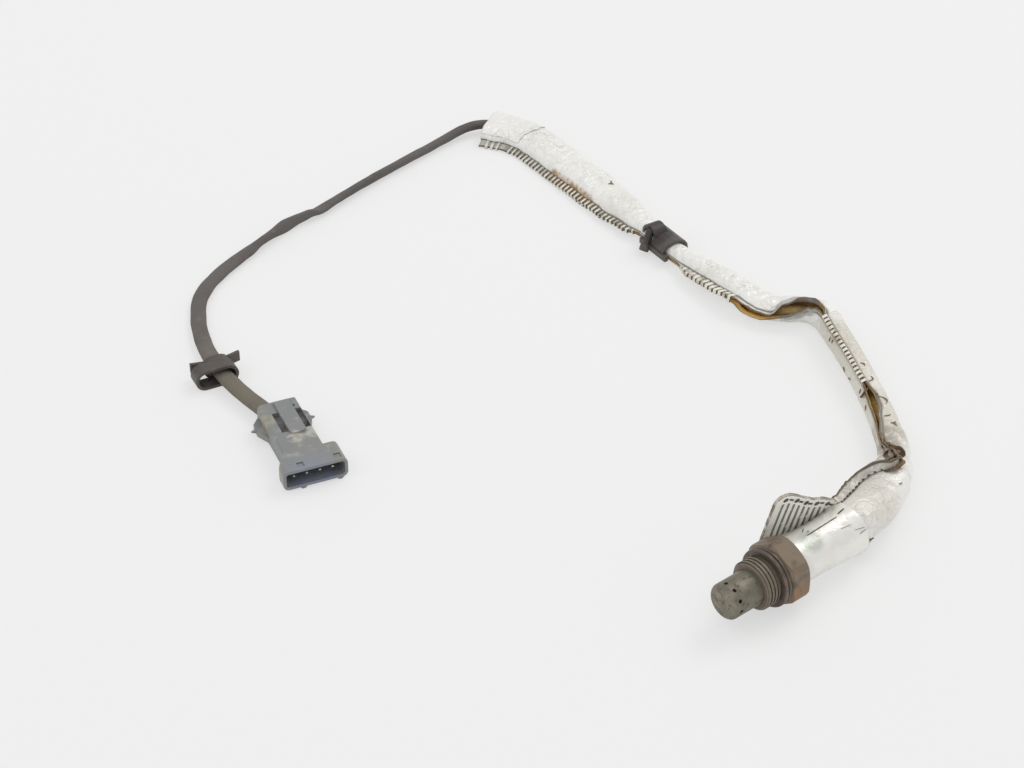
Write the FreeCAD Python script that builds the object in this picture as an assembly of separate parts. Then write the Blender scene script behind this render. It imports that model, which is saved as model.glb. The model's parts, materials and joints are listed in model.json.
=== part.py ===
"""Heated exhaust oxygen sensor with a foil-covered lead and a flat four-way connector.

Millimetres, +Z up. The origin is on the thread axis at the face of the gasket that seals on
the exhaust boss. +X runs along the axis towards the sensing tip. The sensor lies on its side,
one hexagon corner down, and the lead lies beside it on the same surface.
"""
import FreeCAD, Part
import math
import os

V = FreeCAD.Vector
X_AXIS = V(1, 0, 0)
Y_AXIS = V(0, 1, 0)
Z_AXIS = V(0, 0, 1)
FULL_TURN = 360.0

# Fits between pieces that are pushed together
SLIP = 0.05            # radial play of parts stacked inside the shell

# Hexagon body, turned in one piece
HEX_FLATS = 22.0       # spanner size
HEX_CORNER_R = 12.0    # corners turned down to this radius
HEX_THICK = 8.5
HEX_CHAMFER = 0.9
HEX_ROLL = 5.0         # degrees that the lowest corner stands off the vertical
THREAD_R = 9.0         # outside of the M18 thread
THREAD_LEN = 6.5       # from the gasket face to the end of the shank
THREAD_LEAD_IN = 0.8
UNDERCUT_R = 8.3       # groove that keeps the gasket on the shank
UNDERCUT_LEN = 0.6     # how far the groove shows in front of the gasket
GASKET_THICK = 3.0
GASKET_R = 10.8
GASKET_FOLD = 1.1      # bead radius of the folded ring
GASKET_WAIST = 0.66    # how much deeper the waist lies than the beads
GASKET_EDGE_R = 0.495
COLLAR_R = 6.8         # rear collar that the shell slides over
COLLAR_BEVEL = 0.5
COLLAR_LEN = 4.0
BORE_R = 5.6           # rear bore that holds the ceramic
FRONT_BORE_R = 4.0
SEAT_X = -1.0          # shoulder that the ceramic seals on
LIP_R = 4.6            # rolled rear lip
LIP_THICK = 0.8

# Protection tubes, flanged, held by the rolled lip of the shank
CAP_R = 6.65
CAP_WALL = 0.5
CAP_LEN = 13.0         # beyond the end of the shank
CAP_ROUND = 1.8
CAP_HOLES = 10
CAP_HOLE_R = 0.75
CAP_HOLE_BACK = 2.6    # behind the front of the tube
INNER_TUBE_R = 5.3
INNER_TUBE_WALL = 0.4
INNER_TUBE_SHORT = 2.2
INNER_TUBE_ROUND = 1.4
INNER_HOLE_BACK = 6.5      # behind the front of the inner tube
INNER_TUBE_HOLES = 6
FLANGE_R = 7.2
FLANGE_SEAT_DEPTH = 1.6
SHANK_LIP = 0.7

# Ceramic thimble, heater and packing
THIMBLE_R = 3.0
THIMBLE_BORE_R = 2.0
THIMBLE_STEM_R = 3.4
THIMBLE_COLLAR_LEN = 2.6
THIMBLE_TIP_BACK = 4.0     # tip behind the front of the outer tube
THIMBLE_TIP_WALL = 1.6
THIMBLE_FOOT_LEN = 4.0     # taper ahead of the collar
THIMBLE_FOOT_STEP = 0.4
THIMBLE_TO_INSULATOR = 0.9
SEAL_RING_THICK = 0.4
POWDER_LEN = 4.4
BUSH_LEN = 3.4
HEATER_R = 1.5
HEATER_TIP_GAP = 0.8
HEATER_IN_INSULATOR = 7.1
HEATER_TIP_ROUND = 0.9

# Rear end under the foil
SHELL_WALL = 0.5
SHELL_LEN = 24.6
SHELL_GAP_TO_HEX = 0.4
CRIMP_DEPTH = 0.7
CRIMP_WIDTH = 2.4
CRIMP_BACK = 4.0       # middle of the crimp, ahead of the rear rim
GROMMET_LEN = 7.2
GROMMET_PROUD = 0.2
INSULATOR_R = 5.9
INSULATOR_LEN = 9.6
WIRE_R = 0.75
WIRE_RING_R = 3.0
WIRES = 4
CONTACT_WALL = 0.3
CONTACT_PROUD = 0.5    # of the inner contact behind the thimble
INNER_CONTACT_LEN = 7.0
OUTER_CONTACT_LEN = 2.4
TAB_W = 1.0
TAB_DEPTH = 3.0        # how far the contact tabs reach into the insulator
INNER_TAB_ANGLE = 45.0
OUTER_TAB_ANGLE = 225.0

# Foil wrap: a label strip folded round the shell, its two ends pressed together as a flag
WRAP_FRONT_R = 8.3
WRAP_REAR_R = 9.4
WRAP_WALL = 0.6
WRAP_GAP_TO_HEX = 0.4
WRAP_LEN = 30.4
FLAG_THICK = 0.9
FLAG_FOOT_Y = -14.4    # the foot of its front edge stands off on the far side
FLAG_LEAN = 17.0       # degrees that it leans over the wrap
FLAG_TURN = 11.7       # degrees that it closes in on the wrap towards the rear
FLAG_HEIGHT = 27.4     # along its slope
FLAG_TOP_BACK = 6.0    # how far back its top edge stays near that height
FLAG_TOP_DROP = 1.0
FLAG_MID_BACK = 17.5   # where the top edge starts to dip
FLAG_MID_HEIGHT = 17.6
FLAG_REAR_HEIGHT = 9.0
FLAG_REAR_FOOT = 3.0
FLAG_CORNER_R = 4.2

# Surface that everything lies on
FLAT_HALF_ARC = math.degrees(math.acos(HEX_FLATS / 2 / HEX_CORNER_R))
CORNER_HALF_ARC = 30.0 - FLAT_HALF_ARC
FLOOR = -HEX_CORNER_R * math.cos(math.radians(max(0.0, HEX_ROLL - CORNER_HALF_ARC)))

# Lead: four thin wires in one sleeve, drawn as a plain tube
LEAD_R = 2.5
LEAD_BEND_SHARE = 0.45
LEAD_POINTS = [
    (-36.0, 0.0, 0.0), (-54.0, -2.5, -1.6), (-72.0, -10.5, -5.6), (-90.0, -21.5, -8.0),
    (-105.0, -41.0, -8.3), (-119.5, -65.5, -8.3), (-131.0, -88.0, -8.3), (-141.0, -109.5, -8.3),
    (-121.5, -122.5, -8.3), (-125.0, -148.0, -8.3), (-125.5, -178.0, -8.3), (-131.0, -210.0, -8.3),
    (-135.5, -242.0, -8.3), (-138.5, -270.0, -8.3), (-141.8, -293.5, -8.4), (-132.5, -315.5, -8.6),
    (-106.0, -313.8, -9.2), (-78.0, -309.8, -9.4), (-50.0, -305.2, -9.4), (-31.0, -301.6, -9.0),
    (-12.0, -299.6, -9.4), (9.0, -295.0, -9.3), (27.0, -289.0, -9.4), (42.5, -280.5, -9.4),
    (53.0, -266.5, -9.4), (60.5, -251.5, -9.3), (66.0, -236.0, -8.2), (68.8, -221.5, -8.0),
    (69.2, -207.0, -8.2), (69.0, -191.8, -8.0),
]

# Heat sleeve: one strip of foil-faced cloth folded lengthwise round the lead, its two edges
# stitched together as a flange that stands out from the seam
SLEEVE_WALL = 0.6
SQUARENESS = 0.86              # 1 is a true oval, less is nearer to a rectangle
SLEEVE_SHARED_POINTS = 14      # the sleeve follows the lead as far as this point
SLEEVE_END_POINTS = [(-140.4, -284.0, -8.3), (-139.5, -297.5, -8.3), (-132.6, -309.6, -8.3)]
SLEEVE_OFF_FLOOR = 0.02
SLEEVE_ARC_POINTS = 10
# distance along the sleeve, width, height, seam angle, gap between the edges, flange, and
# how far the section's middle lies to the left of the lead.
# The seam angle is 0 on the left of the lead, as it runs from the sensor, and 90 on top.
SLEEVE_SHAPE = [
    (2.7, 14.0, 14.0, 22.0, 0.3, 0.2, 0), (7.2, 14.4, 14.4, 22.0, 0.3, 0.4, 0),
    (13.7, 16.2, 15.2, 20.0, 0.3, 3.8, 0), (24.0, 17.2, 14.6, 16.0, 0.3, 4.6, 0),
    (33.0, 17.0, 13.8, 18.0, 0.3, 4.2, 0), (39.0, 16.6, 13.4, 34.0, 0.5, 3.6, -0.2),
    (45.0, 16.6, 12.8, 62.0, 1.0, 3.4, -0.4), (51.0, 15.2, 12.2, 82.0, 1.8, 2.6, -0.6),
    (58.0, 13.2, 11.2, 86.0, 2.8, 1.8, -0.6), (66.0, 12.2, 10.8, 84.0, 2.6, 1.5, -0.4),
    (78.0, 11.2, 10.2, 74.0, 1.6, 1.4, 0), (90.0, 10.8, 9.8, 68.0, 2.8, 1.3, 0),
    (101.0, 10.6, 9.6, 64.0, 1.8, 1.6, 0), (109.0, 10.4, 9.5, 64.0, 0.3, 2.0, 0),
    (138.0, 10.8, 9.5, 72.0, 0.3, 2.2, 0), (148.0, 11.4, 9.5, 78.0, 0.8, 2.6, 0),
    (153.0, 12.4, 9.5, 74.0, 3.0, 2.8, -0.3), (159.0, 13.0, 9.6, 54.0, 7.6, 3.2, -0.4),
    (166.0, 12.8, 9.6, 44.0, 8.4, 3.2, -0.4), (172.0, 12.4, 9.4, 36.0, 5.0, 3.0, -0.6),
    (176.5, 12.8, 9.3, 30.0, 1.4, 3.0, -1.0), (183.0, 14.2, 9.2, 24.0, 4.6, 3.0, -1.8),
    (192.0, 14.0, 9.2, 10.0, 0.6, 3.6, -1.8), (203.0, 12.4, 9.0, 2.0, 0.3, 3.8, -1.0),
    (217.0, 10.8, 8.6, 0.0, 0.3, 3.2, -0.3), (227.0, 9.6, 7.6, 0.0, 0.3, 0.2, 0),
    (252.5, 9.6, 7.6, 0.0, 0.3, 0.2, 0), (261.5, 12.8, 8.0, -8.0, 0.3, 2.4, -0.3),
    (277.5, 17.0, 8.0, -16.0, 0.3, 3.0, -0.8), (297.5, 19.6, 7.8, -22.0, 1.4, 3.0, -1.0),
    (317.5, 20.0, 7.6, -25.0, 0.8, 3.2, -1.0), (339.5, 19.8, 7.6, -25.0, 0.3, 3.4, -0.8),
    (350.5, 21.0, 7.6, -25.0, 0.3, 3.6, -0.6), (367.2, 22.6, 7.8, -25.0, 0.3, 3.8, -0.6),
]
SLEEVE_STEP = 9.0              # widest spacing of the sections on straight stretches
SLEEVE_FINE = (146.0, 192.0)   # the kink, with sections this much closer
SLEEVE_FINE_STEP = 3.5

# Saddle clip pressed over the sleeve, moulded in one with its hood and slanting peg
SADDLE_S = 240.6               # distance along the sleeve to its middle
SADDLE_FRONT = 6.5             # how far it reaches back towards the sensor
SADDLE_REAR = 9.3              # and on along the lead
SADDLE_WALL = 1.2
SADDLE_CLEAR = 0.6
SADDLE_FAR_FOOT = 1.0          # height of its far edge above the surface
RAIL_FRONT = 8.9
RAIL_LOW = 2.6
RAIL_H = 2.4
RAIL_T = 1.7
HOOD_X = 5.9
HOOD_Z = 6.8
HOOD_R = 5.0
HOOD_WALL = 1.3
HOOD_FROM = -1.6
HOOD_TO = 4.6
PEG_R = 1.7
PEG_FROM = (5.8, 3.8, 10.2)
PEG_TO = (4.0, 8.7, 1.8)
PEG_KNOB_R = 2.1
PEG_KNOB_LEN = 3.4

# Winged clip on the dark lead: an oval loop in front, a narrower collar with wings behind
WING_AT = (68.4, -228.6)
WING_TURN = 77.0
LOOP_W = 17.6
LOOP_H = 8.6
LOOP_WALL = 1.2
LOOP_FROM = -1.6
LOOP_TO = 4.5
LOOP_SHIFT = -1.8              # the lead lies to one side of the loop
NECK_W = 11.6
NECK_FROM = -4.5
NECK_SHIFT = 0.7
WING_IN = 4.9                  # inner ends of the wings, from the collar's middle
WING_OUT = 10.1
WING_SWEEP = 1.2
WING_H = 4.2
WING_T = 1.3
WING_RISE = 3.0

# Connector: flat four-way housing, moulded in one with its latch arm and keys
CONN_AT = (65.6, -192.2)
CONN_TURN = 73.5
CONN_LEN = 43.0
CONN_BODY_W = 15.8
CONN_BODY_SHIFT = -0.8         # the body is not quite in the middle of the collar
CONN_COLLAR_W = 24.8
CONN_COLLAR_LEN = 11.4
CONN_SLOPE_LEN = 6.4
CONN_BEVEL = 1.6               # bevelled rear corner on the lead's side
CONN_BOTTOM = 0.9
CONN_TOP = 9.0
CONN_WALL = 1.15
CONN_ROUND = 2.2
CONN_EDGE = 1.0
MOUTH_DEPTH = 15.0
LATCH_W = 6.2
LATCH_SHIFT = 1.0
LATCH_FROM = 1.0
LATCH_TO = 22.0
LATCH_RISE = 0.8
LATCH_FRONT_R = 2.2
SLOT_W = 2.6
SLOT_FROM = 7.0
SLOT_TO = 19.5
SLOT_DEPTH = 2.0
EAR_W = 2.9
EAR_FROM = 1.8
EAR_FULL = 5.5
EAR_LEN = 4.5
EAR_TO = 16.0
EAR_Z = 2.6
EAR_T = 2.4
NUB_LEN = 1.7
NUB_R = 0.9
NUB_TIP_R = 0.3
NUB_X = 8.0
KEY_Y = (-4.8, 9.4)
KEY_R = 1.3
KEY_LEN = 9.0
DIMPLE = (2.8, 2.6, 0.5)
DIMPLE_BACK = 1.4
VENT_AT = (4.7, 4.6)
VENT_R = 0.6
PINS = 4
PIN_PITCH = 5.0
PIN_LOW = 0.6                  # pins below the middle of the mouth
BARREL_PITCH = 3.6             # the crimped ends stand closer together than the pins
PIN_R = 0.75
PIN_BACK = 4.2                 # tips behind the mouth
BARREL_END = 12.0
SET_BACK = 10.0                # sideways set of the pins, from the mouth to its middle
SET_LEN = 1.7
CRIMP_BARREL_R = 1.2
LOCK_PLATE = 1.2
LOCK_PLATE_BACK = 7.8          # rear face of the lock's front plate, behind the mouth
LOCK_PLATE_W = 17.2
LOCK_CLEAR = 0.3
LOCK_RIB = 1.0
RETAINER_THICK = 2.2
RETAINER_WALL = 1.0

# Places that follow from the sizes above
HEX_FRONT_X = -GASKET_THICK
HEX_REAR_X = HEX_FRONT_X - HEX_THICK
COLLAR_END_X = HEX_REAR_X - COLLAR_LEN
FLANGE_SEAT_X = THREAD_LEN - FLANGE_SEAT_DEPTH
CAP_FRONT_X = THREAD_LEN + CAP_LEN
SHELL_FRONT_X = HEX_REAR_X - SHELL_GAP_TO_HEX
SHELL_REAR_X = SHELL_FRONT_X - SHELL_LEN
SHELL_R = COLLAR_R + SHELL_WALL
CRIMP_X = SHELL_REAR_X + CRIMP_BACK
GROMMET_REAR_X = SHELL_REAR_X - GROMMET_PROUD
INSULATOR_FRONT_X = GROMMET_REAR_X + GROMMET_LEN + INSULATOR_LEN
THIMBLE_REAR_X = INSULATOR_FRONT_X + THIMBLE_TO_INSULATOR
HEATER_REAR_X = INSULATOR_FRONT_X - HEATER_IN_INSULATOR
THIMBLE_COLLAR_X = SEAT_X - SEAL_RING_THICK
THIMBLE_TIP_X = CAP_FRONT_X - THIMBLE_TIP_BACK
POWDER_X = THIMBLE_COLLAR_X - THIMBLE_COLLAR_LEN
BUSH_X = POWDER_X - POWDER_LEN
PACKING_RING_X = BUSH_X - BUSH_LEN
WRAP_FRONT_X = HEX_REAR_X - WRAP_GAP_TO_HEX
WRAP_REAR_X = WRAP_FRONT_X - WRAP_LEN


def revolve(outline):
    """Turn an outline of (x, radius) points round the sensor's axis."""
    points = [V(x, 0, r) for x, r in outline]
    wire = Part.makePolygon(points + [points[0]])
    return Part.Face(wire).revolve(V(0, 0, 0), X_AXIS, FULL_TURN)


def ring(x0, x1, r_in, r_out):
    """Plain ring on the axis from x0 to x1."""
    outer = Part.makeCylinder(r_out, x1 - x0, V(x0, 0, 0), X_AXIS)
    if r_in <= 0:
        return outer
    return outer.cut(Part.makeCylinder(r_in, x1 - x0, V(x0, 0, 0), X_AXIS))


def block(x0, x1, y0, y1, z0, z1):
    """Box from its six sides."""
    return Part.makeBox(x1 - x0, y1 - y0, z1 - z0, V(x0, y0, z0))


def extrude(outline, z0, z1):
    """Raise a closed outline of (x, y) points from z0 to z1."""
    points = [V(x, y, z0) for x, y in outline]
    wire = Part.makePolygon(points + [points[0]])
    return Part.Face(wire).extrude(V(0, 0, z1 - z0))


def edges_along(shape, axis, keep):
    """Straight edges that run along an axis and whose middle passes the test."""
    found = []
    for edge in shape.Edges:
        if edge.Curve.TypeId != "Part::GeomLine":
            continue
        way = edge.tangentAt(edge.FirstParameter)
        middle = edge.valueAt((edge.FirstParameter + edge.LastParameter) / 2)
        if abs(way.dot(axis)) > 0.999 and keep(middle):
            found.append(edge)
    return found


def place(shape, at, turn):
    """Turn a piece built at the origin about Z and set it on the floor at a place."""
    moved = shape.copy()
    moved.rotate(V(0, 0, 0), Z_AXIS, turn)
    moved.translate(V(at[0], at[1], FLOOR))
    return moved


def rounded_route(points):
    """Straight runs joined by tangent arcs, and the arc radii."""
    corners = [V(*p) for p in points]
    edges = []
    radii = []
    start = corners[0]
    for before, corner, after in zip(corners, corners[1:], corners[2:]):
        back = (before - corner).normalize()
        ahead = (after - corner).normalize()
        half_turn = (math.pi - back.getAngle(ahead)) / 2
        reach = LEAD_BEND_SHARE * min((before - corner).Length, (after - corner).Length)
        radius = reach / math.tan(half_turn)
        first = corner + back * reach
        last = corner + ahead * reach
        bisector = (back + ahead).normalize()
        middle = corner + bisector * (radius / math.cos(half_turn) - radius)
        edges.append(Part.LineSegment(start, first).toShape())
        edges.append(Part.Arc(first, middle, last).toShape())
        radii.append(radius)
        start = last
    edges.append(Part.LineSegment(start, corners[-1]).toShape())
    return edges, radii


def at_distance(edges, distance):
    """Point and direction on a chain of edges, a distance from its start."""
    left = distance
    for edge in edges:
        if left <= edge.Length:
            spot = edge.getParameterByLength(left)
            return edge.valueAt(spot), edge.tangentAt(spot)
        left -= edge.Length
    last = edges[-1]
    return last.valueAt(last.LastParameter), last.tangentAt(last.LastParameter)


def hex_blank():
    """Hexagon with turned corners and chamfered faces, lowest corner rolled off the vertical."""
    across = HEX_FLATS / math.sqrt(3)
    points = []
    for corner in range(6):
        angle = math.radians(-90.0 + HEX_ROLL + 60.0 * corner)
        points.append(V(HEX_REAR_X, across * math.cos(angle), across * math.sin(angle)))
    prism = Part.Face(Part.makePolygon(points + [points[0]])).extrude(V(HEX_THICK, 0, 0))
    face_r = HEX_CORNER_R - 2 * HEX_CHAMFER
    turned = revolve([
        (HEX_REAR_X, 0), (HEX_REAR_X, face_r), (HEX_REAR_X + HEX_CHAMFER, HEX_CORNER_R),
        (HEX_FRONT_X - HEX_CHAMFER, HEX_CORNER_R), (HEX_FRONT_X, face_r), (HEX_FRONT_X, 0)])
    return prism.common(turned)


def hex_body():
    """Hexagon, threaded shank and rear collar, bored through, both rims rolled in."""
    shank = revolve([
        (COLLAR_END_X, 0), (COLLAR_END_X, COLLAR_R - COLLAR_BEVEL), (COLLAR_END_X + COLLAR_BEVEL, COLLAR_R),
        (HEX_REAR_X, COLLAR_R), (HEX_FRONT_X, UNDERCUT_R), (UNDERCUT_LEN, UNDERCUT_R),
        (UNDERCUT_LEN + THREAD_R - UNDERCUT_R, THREAD_R), (THREAD_LEN - THREAD_LEAD_IN, THREAD_R),
        (THREAD_LEN, THREAD_R - THREAD_LEAD_IN), (THREAD_LEN, 0)])
    body = hex_blank().fuse(shank)
    bore = revolve([
        (COLLAR_END_X, 0), (COLLAR_END_X, LIP_R), (COLLAR_END_X + LIP_THICK, LIP_R),
        (COLLAR_END_X + LIP_THICK, BORE_R), (SEAT_X, BORE_R), (SEAT_X, FRONT_BORE_R),
        (FLANGE_SEAT_X, FRONT_BORE_R), (FLANGE_SEAT_X, FLANGE_R + SLIP),
        (THREAD_LEN - SHANK_LIP, FLANGE_R + SLIP), (THREAD_LEN - SHANK_LIP, CAP_R + SLIP),
        (THREAD_LEN, CAP_R + SLIP), (THREAD_LEN, 0)])
    return body.cut(bore).removeSplitter()


def sealing_gasket():
    """Ring folded from sheet steel: two rolled beads with a waist between them."""
    inner = UNDERCUT_R + SLIP
    waist = GASKET_R - GASKET_WAIST
    body = revolve([
        (HEX_FRONT_X, inner), (HEX_FRONT_X, GASKET_R), (HEX_FRONT_X + GASKET_FOLD, GASKET_R),
        (HEX_FRONT_X + GASKET_THICK / 2, waist), (-GASKET_FOLD, GASKET_R), (0, GASKET_R),
        (0, inner)])
    rims = [e for e in body.Edges if e.Curve.TypeId == "Part::GeomCircle"
            and abs(e.Curve.Radius - GASKET_R) < 1e-6
            and (abs(e.Curve.Center.x) < 1e-6 or abs(e.Curve.Center.x - HEX_FRONT_X) < 1e-6)]
    return body.makeFillet(GASKET_EDGE_R, rims)


def drawn_tube(front_x, radius, wall, flange_x, flange_thick, front_round):
    """Flanged cup drawn from sheet, open at the rear."""
    outer = revolve([
        (flange_x, 0), (flange_x, FLANGE_R), (flange_x + flange_thick, FLANGE_R),
        (flange_x + flange_thick, radius), (front_x, radius), (front_x, 0)])
    rim = [e for e in outer.Edges if e.Curve.TypeId == "Part::GeomCircle"
           and abs(e.Curve.Center.x - front_x) < 1e-6]
    outer = outer.makeFillet(front_round, rim)
    inner = revolve([(flange_x, 0), (flange_x, radius - wall), (front_x - wall, radius - wall),
                     (front_x - wall, 0)])
    rim = [e for e in inner.Edges if e.Curve.TypeId == "Part::GeomCircle"
           and abs(e.Curve.Center.x - (front_x - wall)) < 1e-6]
    inner = inner.makeFillet(front_round - wall, rim)
    return outer.cut(inner)


def pierce(tube, count, hole_r, x, reach, start_angle):
    """Ring of round holes through the side of a tube."""
    for index in range(count):
        drill = Part.makeCylinder(hole_r, reach, V(x, 0, 0), Z_AXIS)
        drill.rotate(V(0, 0, 0), X_AXIS, start_angle + index * FULL_TURN / count)
        tube = tube.cut(drill)
    return tube


def outer_protection_tube():
    """Outer cup, with one ring of gas holes close behind its rounded front."""
    flange_x = FLANGE_SEAT_X + INNER_TUBE_WALL
    tube = drawn_tube(CAP_FRONT_X, CAP_R, CAP_WALL, flange_x,
                      THREAD_LEN - SHANK_LIP - flange_x, CAP_ROUND)
    return pierce(tube, CAP_HOLES, CAP_HOLE_R, CAP_FRONT_X - CAP_HOLE_BACK, CAP_R + 1.0, 12.0)


def inner_protection_tube():
    """Inner cup, with its holes set back so that gas can't blow straight in."""
    front = CAP_FRONT_X - INNER_TUBE_SHORT
    tube = drawn_tube(front, INNER_TUBE_R, INNER_TUBE_WALL, FLANGE_SEAT_X, INNER_TUBE_WALL,
                      INNER_TUBE_ROUND)
    return pierce(tube, INNER_TUBE_HOLES, CAP_HOLE_R, front - INNER_HOLE_BACK, INNER_TUBE_R + 0.5, 0.0)


def sensing_thimble():
    """Closed ceramic tube with a collar that sits on the seal ring."""
    collar_rear = THIMBLE_COLLAR_X - THIMBLE_COLLAR_LEN
    dome_x = THIMBLE_TIP_X - THIMBLE_R
    outer = revolve([
        (THIMBLE_REAR_X, 0), (THIMBLE_REAR_X, THIMBLE_STEM_R), (collar_rear, THIMBLE_STEM_R),
        (collar_rear, BORE_R - SLIP), (THIMBLE_COLLAR_X, BORE_R - SLIP),
        (THIMBLE_COLLAR_X, THIMBLE_R + THIMBLE_FOOT_STEP), (THIMBLE_COLLAR_X + THIMBLE_FOOT_LEN, THIMBLE_R),
        (dome_x, THIMBLE_R), (dome_x, 0)])
    outer = outer.fuse(Part.makeSphere(THIMBLE_R, V(dome_x, 0, 0)))
    bore_front = THIMBLE_TIP_X - THIMBLE_TIP_WALL - THIMBLE_BORE_R
    bore = ring(THIMBLE_REAR_X, bore_front, 0, THIMBLE_BORE_R)
    bore = bore.fuse(Part.makeSphere(THIMBLE_BORE_R, V(bore_front, 0, 0)))
    return outer.cut(bore).removeSplitter()


def heater_rod():
    """Ceramic heater rod that stands inside the thimble."""
    front = THIMBLE_TIP_X - THIMBLE_TIP_WALL - HEATER_TIP_GAP
    rod = ring(HEATER_REAR_X, front, 0, HEATER_R)
    rim = [e for e in rod.Edges if e.Curve.TypeId == "Part::GeomCircle"
           and abs(e.Curve.Center.x - front) < 1e-6]
    return rod.makeFillet(HEATER_TIP_ROUND, rim)


def thimble_seal_ring():
    """Soft metal washer between the ceramic collar and its seat."""
    return ring(THIMBLE_COLLAR_X, SEAT_X, THIMBLE_R + 0.6, BORE_R - SLIP)


def powder_packing():
    """Talc ring pressed in behind the collar."""
    return ring(BUSH_X, POWDER_X, THIMBLE_STEM_R + SLIP, BORE_R - SLIP)


def support_bush():
    """Ceramic bush that presses on the talc."""
    return ring(PACKING_RING_X, BUSH_X, THIMBLE_STEM_R + SLIP, BORE_R - SLIP)


def packing_ring():
    """Steel ring that the rolled rear lip bears on."""
    return ring(COLLAR_END_X + LIP_THICK, PACKING_RING_X, THIMBLE_STEM_R + SLIP, BORE_R - SLIP)


def contact_tab(radius, front_x, angle):
    """Flat strip that carries a contact back to the ceramic insulator."""
    rear = INSULATOR_FRONT_X - TAB_DEPTH
    tab = block(rear, front_x, -TAB_W / 2, TAB_W / 2, radius, radius + CONTACT_WALL)
    tab.rotate(V(0, 0, 0), X_AXIS, angle)
    return tab


def inner_contact():
    """Spring sleeve inside the thimble, round the heater."""
    radius = THIMBLE_BORE_R - SLIP
    sleeve = ring(THIMBLE_REAR_X - CONTACT_PROUD, THIMBLE_REAR_X + INNER_CONTACT_LEN,
                  radius - CONTACT_WALL, radius)
    tab = contact_tab(radius - CONTACT_WALL, THIMBLE_REAR_X, INNER_TAB_ANGLE)
    return sleeve.fuse(tab).removeSplitter()


def outer_contact():
    """Ring round the thimble's rear end."""
    radius = THIMBLE_STEM_R + SLIP
    band = ring(THIMBLE_REAR_X, THIMBLE_REAR_X + OUTER_CONTACT_LEN, radius, radius + CONTACT_WALL)
    return band.fuse(contact_tab(radius, THIMBLE_REAR_X, OUTER_TAB_ANGLE)).removeSplitter()


def on_wire_circle(make):
    """One solid for each wire, evenly spaced round the axis, as a group."""
    return [make().rotated(V(0, 0, 0), X_AXIS, index * FULL_TURN / WIRES) for index in range(WIRES)]


def ceramic_insulator():
    """Ceramic block that keeps the four wire ends apart."""
    rear = INSULATOR_FRONT_X - INSULATOR_LEN
    front = INSULATOR_FRONT_X
    body = ring(rear, front, HEATER_R + SLIP, INSULATOR_R)
    rims = [e for e in body.Edges if e.Curve.TypeId == "Part::GeomCircle"
            and abs(e.Curve.Radius - INSULATOR_R) < 1e-6]
    body = body.makeFillet(0.5, rims)
    for hole in on_wire_circle(lambda: Part.makeCylinder(
            WIRE_R + SLIP, INSULATOR_LEN, V(rear, 0, WIRE_RING_R), X_AXIS)):
        body = body.cut(hole)
    half = TAB_W / 2 + SLIP
    for angle, radius in ((INNER_TAB_ANGLE, THIMBLE_BORE_R - SLIP - CONTACT_WALL),
                          (OUTER_TAB_ANGLE, THIMBLE_STEM_R + SLIP)):
        slot = block(rear, front, -half, half, radius - SLIP, radius + CONTACT_WALL + SLIP)
        body = body.cut(slot.rotated(V(0, 0, 0), X_AXIS, angle))
    return body


def rear_shell_radius(x):
    """Outside radius of the rear shell: crimped in once round the grommet."""
    off = abs(x - CRIMP_X)
    if off >= CRIMP_WIDTH / 2:
        return SHELL_R
    return SHELL_R - CRIMP_DEPTH * (1 + math.cos(2 * math.pi * off / CRIMP_WIDTH)) / 2


def crimped_profile(x0, x1, inset):
    """Points along the crimped wall from x0 to x1, a distance inside its surface."""
    stops = [x0]
    steps = 6
    for index in range(steps + 1):
        stops.append(CRIMP_X - CRIMP_WIDTH / 2 + CRIMP_WIDTH * index / steps)
    stops.append(x1)
    return [(x, rear_shell_radius(x) - inset) for x in stops]


def rear_shell():
    """Steel tube over the collar, crimped round the grommet."""
    outside = crimped_profile(SHELL_REAR_X, SHELL_FRONT_X, 0)
    inside = crimped_profile(SHELL_REAR_X, SHELL_FRONT_X, SHELL_WALL)
    return revolve(outside + inside[::-1])


def wire_grommet():
    """Rubber plug with four wire holes, gripped by the crimp."""
    front = GROMMET_REAR_X + GROMMET_LEN
    body = revolve([(front, 0), (GROMMET_REAR_X, 0)]
                   + crimped_profile(GROMMET_REAR_X, front, SHELL_WALL + SLIP))
    for hole in on_wire_circle(lambda: Part.makeCylinder(
            WIRE_R + SLIP, GROMMET_LEN, V(GROMMET_REAR_X, 0, WIRE_RING_R), X_AXIS)):
        body = body.cut(hole)
    return body


def sensor_wires():
    """Four wires from the insulator through the grommet to the start of the lead."""
    length = GROMMET_LEN + INSULATOR_LEN / 2
    return Part.makeCompound(on_wire_circle(lambda: Part.makeCylinder(
        WIRE_R, length, V(GROMMET_REAR_X, 0, WIRE_RING_R), X_AXIS)))


def wrap_radius(x):
    """Outside radius of the foil wrap, which opens a little towards its rear mouth."""
    share = (WRAP_FRONT_X - x) / WRAP_LEN
    return WRAP_FRONT_R + (WRAP_REAR_R - WRAP_FRONT_R) * share ** 2


def wrap_profile(inset):
    """Points along the wrap from rear to front, a distance inside its surface."""
    steps = 5
    stops = [WRAP_REAR_X + WRAP_LEN * index / steps for index in range(steps + 1)]
    return [(x, wrap_radius(x) - inset) for x in stops]


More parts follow.
